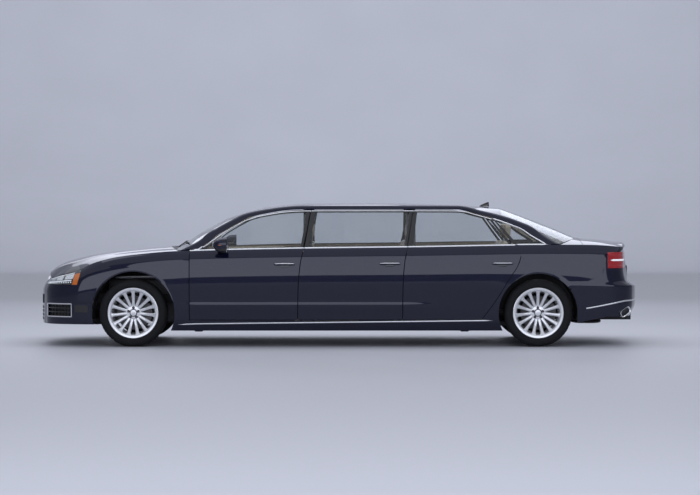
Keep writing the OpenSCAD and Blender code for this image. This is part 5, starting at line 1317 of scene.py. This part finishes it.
def padded_box(half, corner_r, steps):
    """Points and faces of a box with round edges, closely spaced near them."""
    s = np.sin(np.linspace(-1, 1, steps) * math.pi / 2) * 0.35 + np.linspace(-1, 1, steps) * 0.65
    a, b = np.meshgrid(s, s, indexing="ij")
    points, faces = [], []
    for axis in range(3):
        for end in (-1, 1):
            cube = np.empty((steps, steps, 3))
            cube[..., axis], cube[..., (axis + 1) % 3], cube[..., (axis + 2) % 3] = end, a, b
            faces += grid_faces(steps, steps, len(points), np.ones((steps - 1, steps - 1), bool))
            points += (cube * half).reshape(-1, 3).tolist()
    points = np.array(points)
    core = np.clip(points, -(np.array(half) - corner_r), np.array(half) - corner_r)
    off = points - core
    return core + corner_r * off / np.maximum(np.linalg.norm(off, axis=1, keepdims=True), 1e-9), faces


def cushion(name, place, size, look, turn=0.0, nodes=(), crown=14.0, seams=(), panel=0.66, channels=0,
            bolster=16.0, corner_r=34.0, steps=27):
    """Stuffed pad, size [length, width, thickness], leaned by turn about Y, with piped seams and channels."""
    half = np.array(size, float) / 2
    points, faces = padded_box(half, min(corner_r, 0.48 * min(size)), steps)
    a, b = points[:, 0] / half[0], points[:, 1] / half[1]
    upper = np.clip(points[:, 2] / half[2], 0, 1)
    rise = crown * (1 - a ** 2) * (1 - b ** 2)
    rise += bolster * np.exp(-((np.abs(b) - 0.84) / 0.11) ** 2) * (1 - a ** 6)
    for line in seams:
        rise -= 7 * np.exp(-((np.abs(b) - line) / 0.03) ** 2)
    if channels:
        wave = np.abs((a + 1) / 2 * channels % 1 - 0.5)
        rise -= 8 * np.exp(-((0.5 - wave) / 0.09) ** 2) * (np.abs(b) < panel) * (np.abs(a) < 0.93)
    points[:, 2] += upper * rise
    points[:, 1] += 6 * np.sign(b) * (np.abs(b) > 0.98) * (1 - a ** 2)
    c, s = math.cos(turn), math.sin(turn)
    turned = [c * points[:, 0] + s * points[:, 2], points[:, 1], c * points[:, 2] - s * points[:, 0]]
    made = piece(name, np.stack(turned, 1) + np.array(place), faces, look, nodes=nodes, sharp=70)


def hard_box(name, place, size, look, corner_r, steps, nodes=()):
    """Plain box with round edges."""
    cushion(name, place, size, look, nodes=nodes, crown=0, bolster=0, corner_r=corner_r,
            steps=steps)


def build_seat(name, x, y, width, nodes=()):
    """Cushion and leaned back of one place."""
    cushion(name + "_cushion", (x + 262, y, 438), [516, width - 4, 136], CREAM, SEAT_TILT, nodes,
            seams=(0.68,), channels=6)
    cushion(name + "_back", (x + SEAT_LEN + 112, y, 790.0), [596, width - 4, 112], CREAM,
            UPRIGHT + BACK_LEAN, seams=(0.68,), channels=7, crown=10, bolster=12)


def build_rest(name, x, y):
    """Head rest on two posts."""
    rest_x = x + SEAT_LEN + 112 + 110 - 40
    cushion(name + "_rest", (rest_x, y, 1195), [146, 246, 76], CREAM, UPRIGHT + REST_LEAN, seams=(0.8,),
            crown=7, bolster=0, corner_r=30, steps=21)
    for end_name, end in (("near", -1), ("far", 1)):
        rounded_bar(f"{name}_post_{end_name}", (rest_x + 4, y + end * 48, 1098), UP, ALONG, [110, 12, 12],
                    CHROME)


def build_seat_row(row, start):
    """Two single seats on feet, or in the rear a bench with three places and two head rests."""
    if row == "rear":
        for place, (y, width) in REAR_PLACES.items():
            build_seat("rear_seat_" + place, start, y, width, ["rear_seats"] if place == "left" else ())
        for side_name, side in SIDES.items():
            build_rest("rear_seat_" + side_name, start, -side * REAR_REST_Y)
        hard_box("rear_seat_foot", (start + 335, 0, BENCH_FLOOR_Z + 21), [366, 614, 40], PLASTIC, 10, 13)
    else:
        for side_name, side in SIDES.items():
            name, y = f"{row}_seat_{side_name}", -side * SEAT_Y
            build_seat(name, start, y, SEAT_W, on_left(side, row + "_seats"))
            build_rest(name, start, y)
            hard_box(name + "_foot", (start + 335, y, mix(CABIN_FLOOR_Z, 372, 0.5)),
                     [366, 2 * SEAT_W / 3 - 6, 370 - CABIN_FLOOR_Z], PLASTIC, 14, 13)


for row, start in SEAT_ROWS.items():
    build_seat_row(row, start)


# Cabin
DASH_X, DASH_LEN, DASH_TOP, DASH_H, DASH_HALF = -1653.7, 400.0, 950.0, 400.0, 736.0
DASH = [[0, 0], [0.8, 0.08], [1, 0.25], [0.85, 1], [0.4, 1], [0, 0.6]]
BAND_DROP, BAND_OUT, BAND_HALF, BAND_CHROME = 0.42, (1, 0, -0.2), 700, (0.315, 0.525)
HOOD_UP, HOOD_HALF, VENT_Y, BLADE_N, BLADE_STEP = 26, 190, (-640, -110, 110, 640), 4, 12.6
# Floor coverings: [start, end, half width, height, skin]
CARPETS = {"cabin_carpet": [-1460, 1070, 690, 206, "carpet"],
           "boot_carpet": [1916, 2990, 460, 381, "carpet"], "parcel_shelf": [1890, 2258, 560, 1047, "trim"]}


def rounded_outline(rows, passes):
    """Closed outline with its corners cut again and again."""
    rows = np.array(rows, float)
    for _ in range(passes):
        after = np.roll(rows, -1, 0)
        rows = np.stack([mix(rows, after, 0.2), mix(rows, after, 0.8)], 1).reshape(-1, 2)
    return rows


def build_dash():
    """Dashboard with a hood before the driver, a wood band between bright lines, vents and a screen."""
    side_line = rounded_outline(DASH, 3)
    y = np.linspace(-1, 1, 61)
    hollow = 0.5 * np.clip(1 - side_line[:, 1] / 0.3, 0, 1)
    rings = []
    for s in y:
        hood = HOOD_UP * math.exp(-((s * DASH_HALF + SEAT_Y) / HOOD_HALF) ** 2)
        shrink = 1 - 0.04 * abs(s) ** 8
        rings.append(np.stack([DASH_X + DASH_LEN * side_line[:, 0] * shrink,
                               0 * side_line[:, 0] + s * DASH_HALF,
                               DASH_TOP - DASH_H * side_line[:, 1] - HOOD_UP * hollow + hood * hollow], 1))
    rings = np.stack(rings)
    piece("dash_top", rings, rings_mesh(rings), DARK, nodes=["dashboard"], sharp=40)
    band_x, band_z = DASH_X + 0.962 * DASH_LEN, DASH_TOP - BAND_DROP * DASH_H
    band = np.stack([0 * y + band_x, BAND_HALF * y, 0 * y + DASH_TOP - BAND_DROP * DASH_H], 1)
    ribbon("dash_wood", band, BAND_OUT, (74, 5), WOOD, sunk=16)
    for n, drop in enumerate(BAND_CHROME):
        path = band + [0, 0, (BAND_DROP - drop) * DASH_H]
        ribbon(f"dash_chrome_{n + 1}", path, BAND_OUT, (6, 5), CHROME, sunk=16)
    for n, place in enumerate(VENT_Y):
        name = f"dash_vent_{n + 1}"
        rounded_bar(name, (band_x + 2, place, band_z), ACROSS, ALONG, [118, 58, 14], BLACK_PLASTIC)
        for k in range(BLADE_N):
            blade = (band_x + 9, place, band_z - 19 + BLADE_STEP * k)
            rounded_bar(f"{name}_blade_{k + 1}", blade, ACROSS, ALONG, [104, 4, 6], CHROME)
    rounded_bar("dash_screen", (DASH_X + 0.95 * DASH_LEN, 0, DASH_TOP - 20), ACROSS, (1, 0, 0.1),
                [226, 104, 12], GLOSS)


def build_cabin():
    """Dashboard, middle console and floor coverings."""
    build_dash()
    hard_box("console_body", (-1453.7 + 380, 0, 350), [756, 206, 290], DARK, 22, 17)
    hard_box("console_stack", (-1404, 0, 560), [96, 206, 330], DARK, 18, 13)
    rounded_bar("console_wood", (-1170, 0, 496), ALONG, UP, [360, 150, 10], WOOD)
    rounded_bar("gear_lever", (-1230, 0, 535), (0.1, 0, 1), (1, 0, -0.1), [84, 44, 44], DARK)
    cushion("console_lid", (-850, 0, 506), [290, 196, 40], CREAM, crown=6, bolster=0, seams=(0.86,),
            corner_r=16, steps=17)
    u, v = np.linspace(0, 1, 21)[:, None], np.linspace(-1, 1, 21)[None, :]
    for name, (x0, x1, half, z, skin) in CARPETS.items():
        x = mix(x0, x1, u) + 0 * v
        low = np.stack([x, half * v + 0 * u, z + 0 * x], -1)
        sheet(name, low + [0, 0, 5], low, ("dark_plastic", skin), round_mm=2)


WHEEL_MID, WHEEL_AXIS = np.array([-1133.6, -SEAT_Y, 873.6]), np.array([0.927, 0, 0.375])
WHEEL_R, GRIP_HALF, WHEEL_TURNS = 175, (15, 14), 72


def build_steering():
    """Steering wheel with three spokes and a boss, its column and two stalks."""
    up = np.cross(WHEEL_AXIS, ACROSS)
    ring = oval(14, 1)
    rings = []
    for a in np.linspace(0, 2 * math.pi, WHEEL_TURNS, endpoint=False):
        way = np.array([0, math.cos(a), 0]) + up * math.sin(a)
        grip = np.outer(GRIP_HALF[0] * ring[:, 0], way)
        rings.append(WHEEL_MID + way * WHEEL_R + grip + np.outer(GRIP_HALF[1] * ring[:, 1], WHEEL_AXIS))
    rings = np.stack(rings + rings[:1])
    piece("steering_rim", rings, rings_mesh(rings, False), DARK, nodes=["steering_wheel"], sharp=60)
    for n, way in enumerate((np.array([0, 1.0, 0]), np.array([0, -1.0, 0]), up if up[2] < 0 else -up)):
        rounded_bar(f"steering_spoke_{n + 1}", WHEEL_MID + way * 108, way, WHEEL_AXIS, [150, 34, 12],
                    ("dark_plastic", "silver"))
    rounded_bar("steering_boss", WHEEL_MID + WHEEL_AXIS * 2, ACROSS, WHEEL_AXIS, [150, 126, 44], DARK)
    rounded_bar("steering_column", WHEEL_MID - WHEEL_AXIS * 62, WHEEL_AXIS, ACROSS, [118, 54, 54], PLASTIC)
    for end_name, end in (("out", -1), ("in", 1)):
        rounded_bar("steering_stalk_" + end_name, WHEEL_MID - WHEEL_AXIS * 34 + [0, end * 78, 0], ACROSS,
                    WHEEL_AXIS, [110, 14, 12], PLASTIC)


TRIM_START, TRIM_ENDS, ARM_Z, WOOD_Z, PULL_Z, POCKET_Z = 0.12, (0.88, 0.88, 0.66), 640, 775, 705, 430


def build_door_trim(side_name, side, k):
    """Wood strip, arm rest, pull and map pocket on the inner face of a door."""
    body = f"{side_name}_door_{k + 1}"
    front, end = (float(door_x(k, share, ARM_Z)) for share in (TRIM_START, TRIM_ENDS[k]))
    x = np.linspace(front, end, 40)
    ribbon(body + "_inner_wood", left(x, WOOD_Z + 0 * x, WALL_T), ACROSS, (46, 4), WOOD, body, side=side,
           taper=3)
    at = left(mix(front, end, 0.5), ARM_Z, WALL_T) + [0, 22, 0]
    made = rounded_bar(body + "_arm_rest", at, ALONG, ACROSS, [0.78 * (end - front), 62, 50], CREAM, body,
                       side)
    at = left(front + 130, PULL_Z, WALL_T) + [0, 12, 0]
    rounded_bar(body + "_inner_pull", at, ALONG, ACROSS, [120, 22, 16], CHROME, body, side)
    x = np.linspace(front, mix(front, end, 0.8), 30)
    ribbon(body + "_map_pocket", left(x, POCKET_Z + 0 * x, WALL_T), ACROSS, (150, 16), ("leather", "trim"),
           body, side=side, taper=3)


ENGINE_X, ENGINE_LOW = FRONT_X - 0.075 * WHEELBASE + 370, 214.3


def build_hidden():
    """Engine with its covers, silencer, undertray and pipe."""
    hard_box("engine_block", (ENGINE_X, 0, ENGINE_LOW + 240), [736, 596, 480], IRON, 30, 17, ["engine"])
    cushion("engine_cover", (ENGINE_X, 0, ENGINE_LOW + 512), [640, 470, 84], PLASTIC, crown=6, bolster=0,
            channels=5, panel=0.8, corner_r=26, steps=21)
    for side_name, side in SIDES.items():
        rounded_bar("engine_cam_cover_" + side_name, (ENGINE_X, -side * 262, ENGINE_LOW + 492), ALONG, UP,
                    [690, 66, 56], ("iron", "steel"))
    rounded_bar("exhaust_silencer", (2638, 0, 238), ACROSS, ALONG, [990, 46, 335], ("iron", "under"),
                nodes=["exhaust"])
    rounded_bar("front_undertray", (-2590, 0, 256), ACROSS, ALONG, [840, 120, 220], PLASTIC)
    rounded_bar("exhaust_pipe", (1850, 0, 200), ALONG, UP, [1300, 60, 60], IRON)


build_cabin()
build_steering()
build_hidden()
for side_name, side in SIDES.items():
    for k in range(3):
        build_door_trim(side_name, side, k)

# Finishes of the solids that stay
KEPT = {"floor_pan": "under", "pillars": "black", "wheel_liners": "plastic", "front_subframe": "iron",
        "rear_axle": "iron", "left_knuckle": "iron", "right_knuckle": "iron"}
for name, skin in KEPT.items():
    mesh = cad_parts[name].data
    mesh.materials.clear()
    mesh.materials.append(MAT[skin])

# Stage, light and camera, in metres
FLOOR_RADII, FLOOR_TURNS, WALL_START, WALL_BEND, WALL_TOP = (4, 8, 14, 22), 72, 26, 12, (38, 20)
WORLD_COLOR, WORLD_STRENGTH, LAMP_COLOR = (0.88, 0.91, 1.0, 1), 0.7, (0.86, 0.89, 1.0)
# Softboxes: [place, aim, size, power]
SOFTBOXES = {
    "overhead": [(0, 0.6, 5.6), (0, 0, 0), (10, 4), 190],
    "camera_side": [(0, -14.5, 3.4), (0, 0, 0.9), (23, 4.6), 560],
    "far_side": [(0, 9, 4.5), (0, 0, 0.8), (12, 3), 130],
    "backdrop": [(0, 17, 9), (0, 38, 21), (14, 4), 2600],
}
LENS, SENSOR, VIEW_END, VIEW_PLACE, VIEW_TILT = 121, 36, 200, (0.1165, -25.4, 1.56), 90 - 1.23


def build_stage():
    """Plain pale floor that turns up into a far wall all round."""
    rows = [[r, 0] for r in FLOOR_RADII]
    rows += [[WALL_START + WALL_BEND * math.sin(a), WALL_BEND - WALL_BEND * math.cos(a)]
             for a in np.linspace(0, math.pi / 2, 16)]
    rows.append(WALL_TOP)
    angles = np.linspace(0, 2 * math.pi, FLOOR_TURNS, endpoint=False)
    rings = np.array([[(r * math.cos(a), r * math.sin(a), z) for a in angles] for r, z in rows])
    faces = [tuple(range(FLOOR_TURNS))] + rings_mesh(rings, False)
    mesh = bpy.data.meshes.new("studio_floor")
    mesh.from_pydata([tuple(p) for p in rings.reshape(-1, 3)], [], faces)
    mesh.shade_smooth()
    mesh.materials.append(finish("studio_floor", (0.50, 0.51, 0.55), 0.55, scale=0.6, vary=0.02, bump=0.01))
    floor = bpy.data.objects.new("studio_floor", mesh)
    bpy.context.scene.collection.objects.link(floor)


def softbox(name, place, aim, size, power):
    """Rectangular lamp that faces its aim and isn't seen itself."""
    lamp = bpy.data.lights.new(name, "AREA")
    lamp.shape, lamp.size, lamp.size_y, lamp.energy = "RECTANGLE", size[0], size[1], power
    lamp.color = LAMP_COLOR
    made = bpy.data.objects.new(name, lamp)
    bpy.context.scene.collection.objects.link(made)
    made.location = place
    way = np.array(aim, float) - np.array(place, float)
    flat = math.hypot(way[0], way[1])
    made.rotation_euler = (math.atan2(flat, -way[2]), 0, math.atan2(way[1], way[0]) - math.pi / 2)
    made.visible_camera = False


build_stage()
world = bpy.data.worlds.new("studio")
bpy.context.scene.world = world
world.use_nodes = True
background = world.node_tree.nodes["Background"]
background.inputs["Color"].default_value = WORLD_COLOR
background.inputs["Strength"].default_value = WORLD_STRENGTH
for name, values in SOFTBOXES.items():
    softbox(name, *values)

camera = bpy.data.cameras.new("photo_view")
camera.lens, camera.sensor_width, camera.clip_end = LENS, SENSOR, VIEW_END
view = bpy.data.objects.new("photo_view", camera)
bpy.context.scene.collection.objects.link(view)
view.location = VIEW_PLACE
view.rotation_euler = (math.radians(VIEW_TILT), 0, 0)
bpy.context.scene.camera = view
bpy.context.scene.view_settings.view_transform = "Standard"
